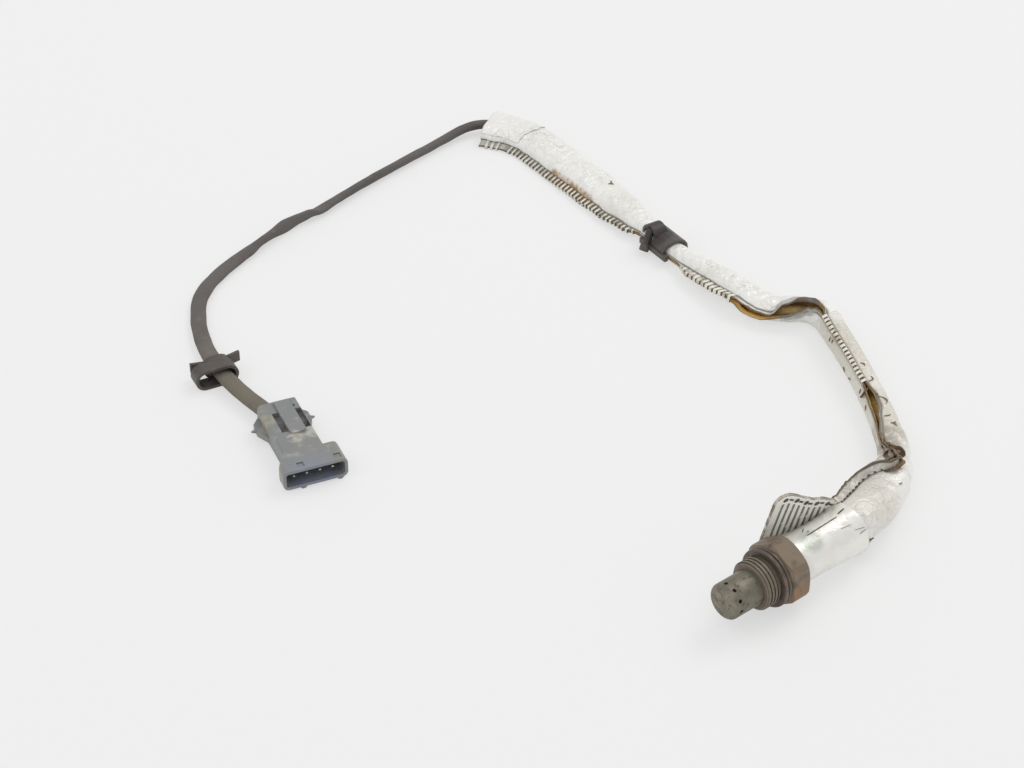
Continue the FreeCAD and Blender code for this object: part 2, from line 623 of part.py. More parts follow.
def wrap_flag():
    """Flat flag of the strip's two pressed ends: tall in front, merging with the wrap behind."""
    back = WRAP_LEN / math.cos(math.radians(FLAG_TURN))
    outline = [(0, 0), (0, FLAG_HEIGHT), (-FLAG_TOP_BACK, FLAG_HEIGHT - FLAG_TOP_DROP),
               (-FLAG_MID_BACK, FLAG_MID_HEIGHT),
               (-back, FLAG_REAR_HEIGHT), (-back, FLAG_REAR_FOOT), (-FLAG_MID_BACK, 0)]
    corners = [V(x, -FLAG_THICK / 2, z) for x, z in outline]
    flag = Part.Face(Part.makePolygon(corners + [corners[0]])).extrude(V(0, FLAG_THICK, 0))
    tip = edges_along(flag, Y_AXIS, lambda m: m.z > FLAG_HEIGHT - 0.01)
    flag = flag.makeFillet(FLAG_CORNER_R, tip)
    flag.rotate(V(0, 0, 0), X_AXIS, -FLAG_LEAN)
    flag.rotate(V(0, 0, 0), Z_AXIS, -FLAG_TURN)
    flag.translate(V(WRAP_FRONT_X, FLAG_FOOT_Y, 0))
    return flag


def foil_wrap():
    """Tube of foil round the shell, with the flag where the two ends of the strip meet."""
    outer = revolve([(WRAP_REAR_X, 0)] + wrap_profile(0) + [(WRAP_FRONT_X, 0)])
    inner = revolve([(WRAP_REAR_X, 0)] + wrap_profile(WRAP_WALL) + [(WRAP_FRONT_X, 0)])
    reach = 2 * FLAG_HEIGHT
    within = block(WRAP_REAR_X, WRAP_FRONT_X, -reach, reach, -reach, reach)
    return outer.fuse(wrap_flag().common(within)).cut(inner).removeSplitter()


def lead_edges():
    """Route of the lead as straight runs and arcs, with the radii printed."""
    edges, radii = rounded_route(LEAD_POINTS)
    print("lead bend radii:", ", ".join("%.0f" % r for r in radii), "smallest %.1f" % min(radii))
    return edges


def connector_rear_space():
    """Everything ahead of the connector's rear face, to trim the end of the lead."""
    half = CONN_COLLAR_W
    return place(block(0, half, -half, half, -half, half), CONN_AT, CONN_TURN)


def lead():
    """Plain tube along the whole lead, its ends trimmed flat on the grommet and the connector."""
    edges = lead_edges()
    path = Part.Wire(edges)
    start = LEAD_POINTS[0]
    way = edges[0].tangentAt(edges[0].FirstParameter)
    circle = Part.Wire(Part.makeCircle(LEAD_R, V(*start), way))
    tube = path.makePipeShell([circle], True, False)
    expected = math.pi * LEAD_R ** 2 * path.Length
    print("lead length %.1f, tube volume / section x length %.4f" % (path.Length, tube.Volume / expected))
    grommet_space = block(GROMMET_REAR_X, 0, -2 * LEAD_R, 2 * LEAD_R, -2 * LEAD_R, 2 * LEAD_R)
    return tube.cut(grommet_space).cut(connector_rear_space())


def sleeve_edges():
    """Route of the heat sleeve: the lead's, then its own slack end."""
    shared = [LEAD_POINTS[index] for index in range(SLEEVE_SHARED_POINTS)]
    return rounded_route(shared + SLEEVE_END_POINTS)[0]


def sleeve_shape_at(distance):
    """Width, height, seam angle, gap, flange and shift at a distance along the sleeve."""
    for low, high in zip(SLEEVE_SHAPE, SLEEVE_SHAPE[1:]):
        if distance <= high[0]:
            share = max(0.0, (distance - low[0]) / (high[0] - low[0]))
            share = share * share * (3 - 2 * share)
            return [a + (b - a) * share for a, b in zip(low[1:], high[1:])]
    return list(SLEEVE_SHAPE[-1][1:])


def oval(angle, half_width, half_height):
    """Point of the sleeve's rounded-rectangle section at an angle in degrees."""
    c = math.cos(math.radians(angle))
    s = math.sin(math.radians(angle))
    return (half_width * math.copysign(abs(c) ** SQUARENESS, c),
            half_height * math.copysign(abs(s) ** SQUARENESS, s))


def folded_section(width, height, seam, gap, flange):
    """Outline of the folded strip: round the outside from lip to lip, and back inside."""
    a = width / 2
    b = height / 2
    reach = math.hypot(*oval(seam, a, b))
    out_x = math.cos(math.radians(seam)) * flange
    out_y = math.sin(math.radians(seam)) * flange
    outer_half = math.degrees((gap / 2 + SLEEVE_WALL) / reach)
    inner_half = math.degrees((gap / 2) / reach)

    def on_outer(angle):
        return oval(angle, a, b)

    def on_inner(angle):
        return oval(angle, a - SLEEVE_WALL, b - SLEEVE_WALL)

    def lip(angle):
        x, y = on_outer(angle)
        return (x + out_x, y + out_y)

    span = FULL_TURN - 2 * outer_half
    steps = SLEEVE_ARC_POINTS - 1
    round_angles = [seam + outer_half + span * i / steps for i in range(steps + 1)]
    inner_span = FULL_TURN - 2 * inner_half
    back_angles = [seam + inner_half + inner_span * i / steps for i in range(steps + 1)]
    outline = [lip(seam + outer_half)]
    outline += [on_outer(angle) for angle in round_angles]
    outline += [lip(seam - outer_half), lip(seam - inner_half)]
    outline += [on_inner(angle) for angle in reversed(back_angles)]
    outline += [lip(seam + inner_half)]
    return outline


def sleeve_section(edges, distance):
    """Closed outline of the sleeve across its route at a distance along it."""
    spot, way = at_distance(edges, distance)
    width, height, seam, gap, flange, shift = sleeve_shape_at(distance)
    level = V(way.x, way.y, 0).normalize()
    left = V(-level.y, level.x, 0)
    lift = max(spot.z, FLOOR + SLEEVE_OFF_FLOOR + height / 2)
    centre = V(spot.x, spot.y, lift) + left * shift
    points = [centre + left * x + Z_AXIS * y
              for x, y in folded_section(width, height, seam, gap, flange)]
    return Part.makePolygon(points + [points[0]])


def sleeve_stops():
    """Distances of the sections: every row of the table, and more between them."""
    stops = []
    for low, high in zip(SLEEVE_SHAPE, SLEEVE_SHAPE[1:]):
        fine = SLEEVE_FINE[0] <= low[0] < SLEEVE_FINE[1]
        count = math.ceil((high[0] - low[0]) / (SLEEVE_FINE_STEP if fine else SLEEVE_STEP))
        stops += [low[0] + (high[0] - low[0]) * index / count for index in range(count)]
    return stops + [SLEEVE_SHAPE[-1][0]]


def heat_sleeve():
    """Folded foil cloth, lofted through its sections; the seam gapes at the kink."""
    edges = sleeve_edges()
    print("sleeve route length %.1f" % sum(e.Length for e in edges))
    sections = [sleeve_section(edges, distance) for distance in sleeve_stops()]
    return Part.makeLoft(sections, True, True)


def saddle_place():
    """Middle of the saddle clip and the direction of the sleeve there."""
    spot, way = at_distance(sleeve_edges(), SADDLE_S)
    return (spot.x, spot.y), math.degrees(math.atan2(way.y, way.x))


def saddle_hull(grow, x0, x1):
    """Solid of the sleeve's section there, grown all round, from x0 to x1."""
    width, height = sleeve_shape_at(SADDLE_S)[:2]
    steps = 16
    points = []
    for index in range(steps):
        y, z = oval(FULL_TURN * index / steps, width / 2 + grow, height / 2 + grow)
        points.append(V(x0, y, z + height / 2 + SLEEVE_OFF_FLOOR))
    return Part.Face(Part.makePolygon(points + [points[0]])).extrude(V(x1 - x0, 0, 0))


def clip_peg():
    """Slanting peg from the hood past the rail, with a round knob near the surface."""
    start = V(*PEG_FROM)
    way = (V(*PEG_TO) - start).normalize()
    length = (V(*PEG_TO) - start).Length
    shaft = Part.makeCylinder(PEG_R, length, start, way)
    knob = Part.makeCylinder(PEG_KNOB_R, PEG_KNOB_LEN, V(*PEG_TO) - way * PEG_KNOB_LEN, way)
    return shaft.fuse(knob.makeFillet(0.5, knob.Edges))


def sleeve_clip():
    """Saddle over the sleeve, with a rail along its near edge, an arched hood and a peg."""
    side = sleeve_shape_at(SADDLE_S)[0] / 2 + SADDLE_CLEAR
    reach = side + SADDLE_WALL + 1
    saddle = saddle_hull(SADDLE_CLEAR + SADDLE_WALL, -SADDLE_FRONT, SADDLE_REAR)
    saddle = saddle.cut(block(-SADDLE_FRONT, SADDLE_REAR, 0, reach, -2, RAIL_LOW))
    saddle = saddle.cut(block(-SADDLE_FRONT, SADDLE_REAR, -reach, 0, -2, SADDLE_FAR_FOOT))
    rail = block(-RAIL_FRONT, SADDLE_REAR, side, side + RAIL_T, RAIL_LOW, RAIL_LOW + RAIL_H)
    hood = Part.makeCylinder(HOOD_R, HOOD_TO - HOOD_FROM, V(HOOD_X, HOOD_FROM, HOOD_Z), Y_AXIS)
    inside = HOOD_R - HOOD_WALL
    hollow = Part.makeCylinder(inside, HOOD_TO - HOOD_FROM, V(HOOD_X, HOOD_FROM + HOOD_WALL, HOOD_Z),
                               Y_AXIS)
    window = block(HOOD_X - inside, HOOD_X + inside, HOOD_FROM + HOOD_WALL, reach, RAIL_LOW + RAIL_H,
                   HOOD_Z)
    shape = saddle.fuse([rail, hood]).cut(hollow.fuse(window)).fuse(clip_peg())
    shape = shape.cut(saddle_hull(SADDLE_CLEAR, -RAIL_FRONT - 1, HOOD_X + HOOD_R + 1))
    shape = shape.common(block(-RAIL_FRONT, HOOD_X + HOOD_R, -reach, 20, 0, 20))
    at, turn = saddle_place()
    return place(shape.removeSplitter(), at, turn)


def stadium(width, height, x0, x1, shift):
    """Flat-sided oval tube solid standing on the floor, along X."""
    r = height / 2
    half = width / 2 - r
    middle = Part.makeBox(x1 - x0, 2 * half, height, V(x0, shift - half, 0))
    left = Part.makeCylinder(r, x1 - x0, V(x0, shift + half, r), X_AXIS)
    right = Part.makeCylinder(r, x1 - x0, V(x0, shift - half, r), X_AXIS)
    return middle.fuse([left, right]).removeSplitter()


def oval_band(width, x0, x1, shift):
    """Oval band of the clip's height and wall, standing on the floor."""
    outer = stadium(width, LOOP_H, x0, x1, shift)
    inner = stadium(width - 2 * LOOP_WALL, LOOP_H - 2 * LOOP_WALL, x0, x1, shift)
    return outer.cut(inner.translated(V(0, 0, LOOP_WALL)))


def winged_clip():
    """Oval loop round the lead, and behind it a collar with two wings for a panel slot."""
    shape = oval_band(LOOP_W, LOOP_FROM, LOOP_TO, LOOP_SHIFT)
    shape = shape.fuse(oval_band(NECK_W, NECK_FROM, LOOP_FROM, NECK_SHIFT))
    for side in (-1, 1):
        near = NECK_SHIFT + side * WING_IN
        far = NECK_SHIFT + side * WING_OUT
        wing = extrude([(NECK_FROM, near), (NECK_FROM + WING_T, near),
                        (NECK_FROM + WING_T - WING_SWEEP, far), (NECK_FROM - WING_SWEEP, far)],
                       WING_RISE, WING_RISE + WING_H)
        shape = shape.fuse(wing)
    return place(shape.removeSplitter(), WING_AT, WING_TURN)


def housing_outline():
    """Plan of the housing: narrow body, wide collar, one shoulder square and one sloped."""
    left = CONN_BODY_SHIFT + CONN_BODY_W / 2
    right = CONN_BODY_SHIFT - CONN_BODY_W / 2
    collar = CONN_COLLAR_W / 2
    step = CONN_LEN - CONN_COLLAR_LEN
    return [(0, left), (step, left), (step, collar), (CONN_LEN, collar), (CONN_LEN, -collar),
            (step + CONN_SLOPE_LEN, -collar), (step, right), (CONN_BEVEL, right),
            (0, right + CONN_BEVEL)]


def spaced(pitch, middle):
    """Sideways places of the terminals at a pitch, about a middle."""
    return [middle + (index - (PINS - 1) / 2) * pitch for index in range(PINS)]


def pin_height():
    """Height of the terminals, a little below the middle of the mouth."""
    return (CONN_BOTTOM + CONN_TOP) / 2 - PIN_LOW


def housing_shell():
    """Outside of the housing with rounded long edges, ears and nubs."""
    shell = extrude(housing_outline(), CONN_BOTTOM, CONN_TOP)
    collar = CONN_COLLAR_W / 2
    body = CONN_BODY_W / 2
    shell = shell.makeFillet(CONN_ROUND, edges_along(shell, X_AXIS, lambda m: abs(abs(m.y) - collar) < 0.01))
    sides = edges_along(shell, X_AXIS, lambda m: abs(abs(m.y - CONN_BODY_SHIFT) - body) < 0.01)
    shell = shell.makeFillet(CONN_EDGE, sides)
    for side in (-1, 1):
        wall = CONN_BODY_SHIFT + side * body
        edge = wall + side * EAR_W
        inside = wall - side * CONN_WALL
        ear = extrude([(EAR_FROM, inside), (EAR_FROM, wall), (EAR_FULL, edge), (EAR_FULL + EAR_LEN, edge),
                       (EAR_TO, wall), (EAR_TO, inside)], EAR_Z, EAR_Z + EAR_T)
        nub = Part.makeCone(NUB_R, NUB_TIP_R, NUB_LEN + SLIP, V(NUB_X, edge - side * SLIP,
                            EAR_Z + EAR_T / 2), V(0, side, 0))
        shell = shell.fuse([ear, nub])
    return shell


def latch_arm():
    """Raised latch tongue with a rounded front, on the top of the housing."""
    half = LATCH_W / 2
    plate = block(LATCH_FROM, LATCH_TO, LATCH_SHIFT - half, LATCH_SHIFT + half,
                  CONN_TOP - CONN_WALL, CONN_TOP + LATCH_RISE)
    front = edges_along(plate, Z_AXIS, lambda m: m.x > LATCH_TO - 0.1)
    return plate.makeFillet(LATCH_FRONT_R, front)


def housing_mouth():
    """Hollow of the mouth: wide inside the collar, narrow inside the body."""
    half = CONN_COLLAR_W / 2 - CONN_WALL
    low = CONN_BOTTOM + CONN_WALL
    high = CONN_TOP - CONN_WALL
    front = CONN_LEN + 1
    wide = extrude([(front, half), (CONN_LEN - CONN_COLLAR_LEN + CONN_WALL, half),
                    (CONN_LEN - CONN_COLLAR_LEN + CONN_WALL, 0),
                    (CONN_LEN - CONN_COLLAR_LEN + CONN_WALL, CONN_WALL + CONN_BODY_SHIFT - CONN_BODY_W / 2),
                    (CONN_LEN - CONN_COLLAR_LEN + CONN_SLOPE_LEN + CONN_WALL, -half),
                    (front, -half)], low, high)
    corners = edges_along(wide, X_AXIS, lambda m: abs(abs(m.y) - half) < 0.01)
    wide = wide.makeFillet(CONN_ROUND - CONN_WALL, corners)
    throat = CONN_BODY_W / 2 - CONN_WALL
    return wide.fuse(block(CONN_LEN - MOUTH_DEPTH, CONN_LEN, CONN_BODY_SHIFT - throat,
                           CONN_BODY_SHIFT + throat, low, high))


def housing_hollows():
    """Terminal bores, the recess for the rear retainer and the small vent."""
    z = pin_height()
    cuts = []
    for y in spaced(BARREL_PITCH, CONN_BODY_SHIFT):
        rear = V(RETAINER_THICK, y, z)
        cuts.append(Part.makeCylinder(PIN_R + SLIP, CONN_LEN - MOUTH_DEPTH - RETAINER_THICK, rear,
                                      X_AXIS))
        cuts.append(Part.makeCylinder(CRIMP_BARREL_R + SLIP, BARREL_END + SLIP - RETAINER_THICK, rear,
                                      X_AXIS))
    cuts.append(Part.makeCylinder(VENT_R, CONN_TOP, V(VENT_AT[0], VENT_AT[1], 0), Z_AXIS))
    return retainer_block(0).fuse(cuts)


def connector_housing():
    """Moulded housing: mouth, terminal bores, latch arm between two slots, keys and vent."""
    shell = housing_shell()
    half = LATCH_W / 2
    for side in (-1, 1):
        inner = LATCH_SHIFT + side * half
        outer = inner + side * SLOT_W
        slot = block(SLOT_FROM, SLOT_TO, min(inner, outer), max(inner, outer), CONN_TOP - SLOT_DEPTH,
                     CONN_TOP + 1)
        shell = shell.cut(slot)
    shell = shell.fuse(latch_arm())
    for y in KEY_Y:
        key = Part.makeCylinder(KEY_R, KEY_LEN, V(CONN_LEN - KEY_LEN, y, KEY_R), X_AXIS)
        shell = shell.fuse(key)
        dimple = block(CONN_LEN - DIMPLE_BACK - DIMPLE[0], CONN_LEN - DIMPLE_BACK, y - DIMPLE[1] / 2,
                       y + DIMPLE[1] / 2, CONN_TOP - DIMPLE[2], CONN_TOP + 1)
        shell = shell.cut(dimple)
    shell = shell.cut(housing_mouth()).cut(housing_hollows())
    return place(shell.removeSplitter(), CONN_AT, CONN_TURN)


def retainer_block(shrink):
    """Space of the rear retainer, or the retainer itself when it is shrunk."""
    half = CONN_BODY_W / 2 - CONN_BEVEL - RETAINER_WALL - shrink
    return block(0, RETAINER_THICK, CONN_BODY_SHIFT - half, CONN_BODY_SHIFT + half,
                 CONN_BOTTOM + RETAINER_WALL + shrink, CONN_TOP - RETAINER_WALL - shrink)


def rear_retainer():
    """Cover that closes the rear of the housing; the lead ends on it."""
    return place(retainer_block(SLIP), CONN_AT, CONN_TURN)


def terminal_lock():
    """Comb in the mouth: two leaves over and under the terminals and a plate in front."""
    throat = CONN_BODY_W / 2 - CONN_WALL - SLIP
    low = CONN_BOTTOM + CONN_WALL + SLIP
    high = CONN_TOP - CONN_WALL - SLIP
    rear = CONN_LEN - MOUTH_DEPTH
    plate_x = CONN_LEN - LOCK_PLATE_BACK
    z = pin_height()
    left = CONN_BODY_SHIFT + throat
    right = CONN_BODY_SHIFT - throat
    room = PIN_R + LOCK_CLEAR
    body = block(rear, plate_x, right, left, low, high)
    body = body.cut(block(rear, plate_x, right, left, z - room, z + room))
    rib = CONN_BODY_SHIFT - LOCK_RIB / 2
    body = body.fuse(block(rear, plate_x - SET_LEN, rib, rib + LOCK_RIB, low, high))
    plate = block(plate_x, plate_x + LOCK_PLATE, -LOCK_PLATE_W / 2, LOCK_PLATE_W / 2, low, high)
    for y in spaced(PIN_PITCH, 0):
        plate = plate.cut(Part.makeCylinder(PIN_R + SLIP, LOCK_PLATE, V(plate_x, y, z), X_AXIS))
    return place(body.fuse(plate).removeSplitter(), CONN_AT, CONN_TURN)


def terminal(rear_y, front_y):
    """One pin: crimp barrel, shaft with a sideways set, tapered tip."""
    z = pin_height()
    tip = CONN_LEN - PIN_BACK
    set_x = CONN_LEN - SET_BACK
    barrel = Part.makeCylinder(CRIMP_BARREL_R, BARREL_END - RETAINER_THICK,
                               V(RETAINER_THICK, rear_y, z), X_AXIS)
    route = [V(BARREL_END, rear_y, z), V(set_x, rear_y, z), V(set_x + SET_LEN, front_y, z),
             V(tip - 1, front_y, z)]
    circle = Part.Wire(Part.makeCircle(PIN_R, route[0], X_AXIS))
    shaft = Part.Wire(Part.makePolygon(route)).makePipeShell([circle], True, False, 1)
    point = Part.makeCone(PIN_R, PIN_R * 0.5, 1, V(tip - 1, front_y, z), X_AXIS)
    return place(barrel.fuse([shaft, point]).removeSplitter(), CONN_AT, CONN_TURN)


def connector_terminals():
    """The four terminals."""
    pairs = zip(spaced(BARREL_PITCH, CONN_BODY_SHIFT), spaced(PIN_PITCH, 0))
    return Part.makeCompound([terminal(rear_y, front_y) for rear_y, front_y in pairs])


PIECES = [
    hex_body, sealing_gasket, outer_protection_tube, inner_protection_tube, sensing_thimble,
    heater_rod, thimble_seal_ring, powder_packing, support_bush, packing_ring, inner_contact,
    outer_contact, ceramic_insulator, rear_shell, wire_grommet, sensor_wires, foil_wrap, lead,
    heat_sleeve, sleeve_clip, winged_clip, connector_housing, rear_retainer, terminal_lock,
    connector_terminals,
]


def main():
    os.makedirs("parts", exist_ok=True)
    for make in PIECES:
        shape = make()
        box = shape.BoundBox
        print("%-22s solids %d valid %s volume %8.1f  x %7.1f %7.1f  y %7.1f %7.1f  z %6.1f %6.1f" % (
            make.__name__, len(shape.Solids), shape.isValid(), shape.Volume,
            box.XMin, box.XMax, box.YMin, box.YMax, box.ZMin, box.ZMax))
        shape.exportStep("parts/%s.step" % make.__name__)


main()
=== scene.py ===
# %% [markdown]
# # A used oxygen sensor, laid out on a pale table
# The part is an exhaust gas sensor that has been on a car. Its steel head is brown from heat,
# its lead leaves the head inside a sleeve of foil-faced cloth, and it ends in a flat grey
# connector. The engineering model gives every size and place. This lesson gives the pieces
# their looks: which ones keep their engineering shape and only get a finish, which ones are
# made again in finer detail, and how the light and the camera are set.
#
# Everything is in metres. The sensor's thread axis is X, pointing to the sensing tip.

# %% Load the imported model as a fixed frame
import json
import math
from functools import reduce

import bmesh
import bpy
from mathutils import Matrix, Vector, noise


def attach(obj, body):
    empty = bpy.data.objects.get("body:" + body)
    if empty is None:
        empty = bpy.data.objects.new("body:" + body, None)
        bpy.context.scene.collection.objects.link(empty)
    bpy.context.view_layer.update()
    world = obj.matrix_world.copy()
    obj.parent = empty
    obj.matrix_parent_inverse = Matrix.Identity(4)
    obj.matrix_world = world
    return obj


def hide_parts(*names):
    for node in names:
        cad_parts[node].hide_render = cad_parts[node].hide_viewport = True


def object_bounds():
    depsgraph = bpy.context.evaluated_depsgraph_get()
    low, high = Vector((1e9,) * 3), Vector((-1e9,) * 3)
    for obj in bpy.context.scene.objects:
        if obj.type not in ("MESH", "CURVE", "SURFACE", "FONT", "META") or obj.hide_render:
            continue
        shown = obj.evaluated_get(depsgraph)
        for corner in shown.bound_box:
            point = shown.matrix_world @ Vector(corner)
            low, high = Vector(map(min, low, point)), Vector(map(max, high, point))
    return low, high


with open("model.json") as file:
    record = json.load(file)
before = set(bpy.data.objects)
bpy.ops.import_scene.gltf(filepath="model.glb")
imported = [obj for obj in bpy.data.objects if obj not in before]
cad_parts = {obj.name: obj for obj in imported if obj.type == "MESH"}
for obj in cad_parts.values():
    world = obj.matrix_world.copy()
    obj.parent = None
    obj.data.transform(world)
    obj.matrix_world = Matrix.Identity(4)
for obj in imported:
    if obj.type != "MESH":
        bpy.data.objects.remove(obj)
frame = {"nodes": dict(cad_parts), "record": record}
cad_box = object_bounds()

MM = 0.001
NODES = frame["nodes"]
FLOOR = cad_box[0][2]


def into_scene(name, data):
    """New object for some data, linked to the scene."""
    thing = bpy.data.objects.new(name, data)
    bpy.context.scene.collection.objects.link(thing)
    return thing


print("loaded", len(NODES), "CAD nodes, floor at %.4f m" % FLOOR)


# %% [markdown]
# ## The camera
# The photograph looks down at about 36 degrees from the connector's end of the part, through a
# fairly long lens. The camera is placed by two angles, a distance and the point in the middle
# of the picture, because those four can be measured and changed one at a time.

# %% Camera from two angles, a distance and a target
AZIMUTH = math.radians(140.15)
ELEVATION = math.radians(36.0)
DISTANCE = 0.890
TARGET = Vector((-17.1, -153.5, -12.0)) * MM
LENS, SENSOR = 80.86, 36.0                 # mm

away = Vector((math.sin(AZIMUTH) * math.cos(ELEVATION),
               -math.cos(AZIMUTH) * math.cos(ELEVATION), math.sin(ELEVATION)))
camera_data = bpy.data.cameras.new("camera")
camera_data.lens, camera_data.sensor_width = LENS, SENSOR
camera_data.clip_start = 0.01
camera = into_scene("camera", camera_data)
camera.location = TARGET + away * DISTANCE
camera.rotation_euler = away.to_track_quat("Z", "Y").to_euler()
bpy.context.scene.camera = camera
print("camera at", [round(v, 4) for v in camera.location])


# %% [markdown]
# ## The table and the light
# The part lies on white paper under broad, soft light that comes from the far right, so its
# shadows are short and fall towards the near left. One large lamp gives the shadow its side,
# and an even sky fills it. The paper shows to the camera and in reflections as plain white,
# which the Light Path node allows without putting more light on the part.

# %% Paper, sky and lamps
SIDE = Vector((math.cos(AZIMUTH), math.sin(AZIMUTH), 0.0))
DEPTH = -Vector((away.x, away.y, 0.0)).normalized()
# name, metres to the right, into the picture and up, size, watts, colour
LAMPS = [("window", 1.25, 1.25, 2.0, 1.3, 19.0, (1.0, 0.99, 0.97)),
         ("front_fill", -1.2, -0.9, 1.7, 1.8, 9.0, (1.0, 1.0, 1.0))]
SKY_STRENGTH = 0.7
TABLE_HALF = 3.0

for name, right, into, up, size, watts, tint in LAMPS:
    lamp_data = bpy.data.lights.new(name, "AREA")
    lamp_data.size, lamp_data.energy, lamp_data.color = size, watts, tint
    lamp = into_scene(name, lamp_data)
    lamp.location = TARGET + SIDE * right + DEPTH * into + Vector((0, 0, up))
    lamp.rotation_euler = (lamp.location - TARGET).to_track_quat("Z", "Y").to_euler()

world = bpy.data.worlds.new("studio")
world.use_nodes = True
bpy.context.scene.world = world
sky = world.node_tree.nodes["Background"]
sky.inputs["Color"].default_value = (1.0, 1.0, 1.0, 1.0)
sky.inputs["Strength"].default_value = SKY_STRENGTH

table = bpy.data.meshes.new("table")
CORNERS = ((-1, -1), (1, -1), (1, 1), (-1, 1))
table.from_pydata([(x * TABLE_HALF, y * TABLE_HALF, FLOOR) for x, y in CORNERS], [],
                  [(0, 1, 2, 3)])
paper = into_scene("table", table)

bpy.context.scene.view_settings.view_transform = "Standard"
print("lamps:", ", ".join(row[0] for row in LAMPS))


# %% [markdown]
# ## Shared shader effects
# The finishes have four things in common: blotches of another colour, fine grain, the creases
# of foil and the threads of cloth. Each is built once as a node group with named inputs, and
# every material places it with its own values. The groups give out masks and heights only. The
# Principled shader stays in the material, so that its plain numbers stay on its own sockets.

# %% Helpers for node trees
NUMBER, VECTOR, GEOMETRY = "NodeSocketFloat", "NodeSocketVector", "NodeSocketGeometry"


def add_node(tree, kind, inputs=None, **settings):
    """New node: its properties by name, its inputs by name or number, as values or sockets."""
    node = tree.nodes.new(kind)
    for key, value in settings.items():
        setattr(node, key, value)
    for key, value in (inputs or {}).items():
        if isinstance(value, bpy.types.NodeSocket):
            tree.links.new(value, node.inputs[key])
        else:
            node.inputs[key].default_value = value
    return node


def group_tree(kind, name, inputs, outputs):
    """Empty node group: its tree, what it is given and what it puts out, by socket name."""
    tree = bpy.data.node_groups.new(name, kind)
    for label, value in inputs.items():
        plain = isinstance(value, float)
        socket = tree.interface.new_socket(label, in_out="INPUT",
                                           socket_type=NUMBER if plain else value)
        if plain:
            socket.default_value = value
    for label, value in outputs.items():
        tree.interface.new_socket(label, in_out="OUTPUT", socket_type=value)
    return tree, add_node(tree, "NodeGroupInput").outputs, add_node(tree, "NodeGroupOutput").inputs


def spread(value, low, high):
    """Map a range of a socket's values smoothly to 0..1."""
    return add_node(value.id_data, "ShaderNodeMapRange",
                    {"Value": value, "From Min": low, "From Max": high},
                    interpolation_type="SMOOTHSTEP").outputs["Result"]


def math_of(operation, first, second=0.0):
    """One arithmetic node on two values, at least one of them a socket."""
    tree = (first if isinstance(first, bpy.types.NodeSocket) else second).id_data
    return add_node(tree, "ShaderNodeMath", {0: first, 1: second}, operation=operation).outputs[0]


def times(first, second):
    return math_of("MULTIPLY", first, second)


def less(first, second):
    return math_of("SUBTRACT", first, second)


def most(first, second):
    return math_of("MAXIMUM", first, second)


# %% Blotches, grain, creases and weave as node groups
def make_blotches():
    """Soft-edged patches: low and high set how much of the surface they cover."""
    tree, given, out = group_tree("ShaderNodeTree", "blotches", {
        "Vector": VECTOR, "Scale": 60.0, "Low": 0.45, "High": 0.65}, {"Mask": NUMBER})
    texture = add_node(tree, "ShaderNodeTexNoise", {
        "Vector": given["Vector"], "Scale": given["Scale"], "Detail": 5.0, "Roughness": 0.6})
    tree.links.new(spread(texture.outputs["Fac"], given["Low"], given["High"]), out["Mask"])
    return tree


def make_grain():
    """Fine surface grain, such as cast plastic or scaled steel."""
    tree, given, out = group_tree("ShaderNodeTree", "grain", {"Vector": VECTOR, "Scale": 1500.0},
                                  {"Height": NUMBER})
    parts = []
    for detail, scale, share in ((3.0, given["Scale"], 0.4),
                                 (2.0, times(given["Scale"], 0.22), 0.6)):
        texture = add_node(tree, "ShaderNodeTexNoise", {
            "Vector": given["Vector"], "Scale": scale, "Detail": detail})
        parts.append(times(texture.outputs["Fac"], share))
    tree.links.new(math_of("ADD", *parts), out["Height"])
    return tree


def make_creases():
    """Crumpled foil: soft facets between long creases, at two sizes."""
    tree, given, out = group_tree("ShaderNodeTree", "creases", {"Vector": VECTOR, "Scale": 220.0},
                                  {"Height": NUMBER, "Line": NUMBER})
    heights = []
    for share, swirl in ((1.0, 0.6), (2.6, 1.2)):
        folds = add_node(tree, "ShaderNodeTexNoise", {
            "Vector": given["Vector"], "Scale": times(given["Scale"], share), "Detail": 1.0,
            "Distortion": swirl})
        ridge = math_of("ABSOLUTE", less(folds.outputs["Fac"], 0.5))
        heights.append(math_of("MINIMUM", times(ridge, 5.0), 1.0))
    tree.links.new(math_of("ADD", heights[0], times(heights[1], 0.35)), out["Height"])
    tree.links.new(less(1.0, spread(heights[0], 0.0, 0.06)), out["Line"])
    return tree


def make_weave():
    """Plain weave on a UV map in threads: the height of the threads."""
    tree, given, out = group_tree("ShaderNodeTree", "weave", {"Across": 600.0, "Along": 600.0},
                                  {"Height": NUMBER})
    place = add_node(tree, "ShaderNodeUVMap", uv_map="cloth")
    parts = add_node(tree, "ShaderNodeSeparateXYZ", {0: place.outputs["UV"]})
    across = times(parts.outputs["X"], given["Across"])
    along = times(parts.outputs["Y"], given["Along"])
    first, second = (math_of("ABSOLUTE", math_of("SINE", math_of(sign, across, along)))
                     for sign in ("ADD", "SUBTRACT"))
    tree.links.new(times(first, second), out["Height"])
    return tree


BLOTCHES, GRAIN, CREASES, WEAVE = make_blotches(), make_grain(), make_creases(), make_weave()
print("shader groups:", ", ".join(g.name for g in (BLOTCHES, GRAIN, CREASES, WEAVE)))


# %% A small class that lays down one material's nodes
def shade(red, green, blue):
    """Colour as a screen shows it, 0 to 255, in the linear values that shaders use."""
    linear = []
    for value in (red, green, blue):
        v = value / 255.0
        linear.append(v / 12.92 if v <= 0.04045 else ((v + 0.055) / 1.055) ** 2.4)
    return tuple(linear) + (1.0,)


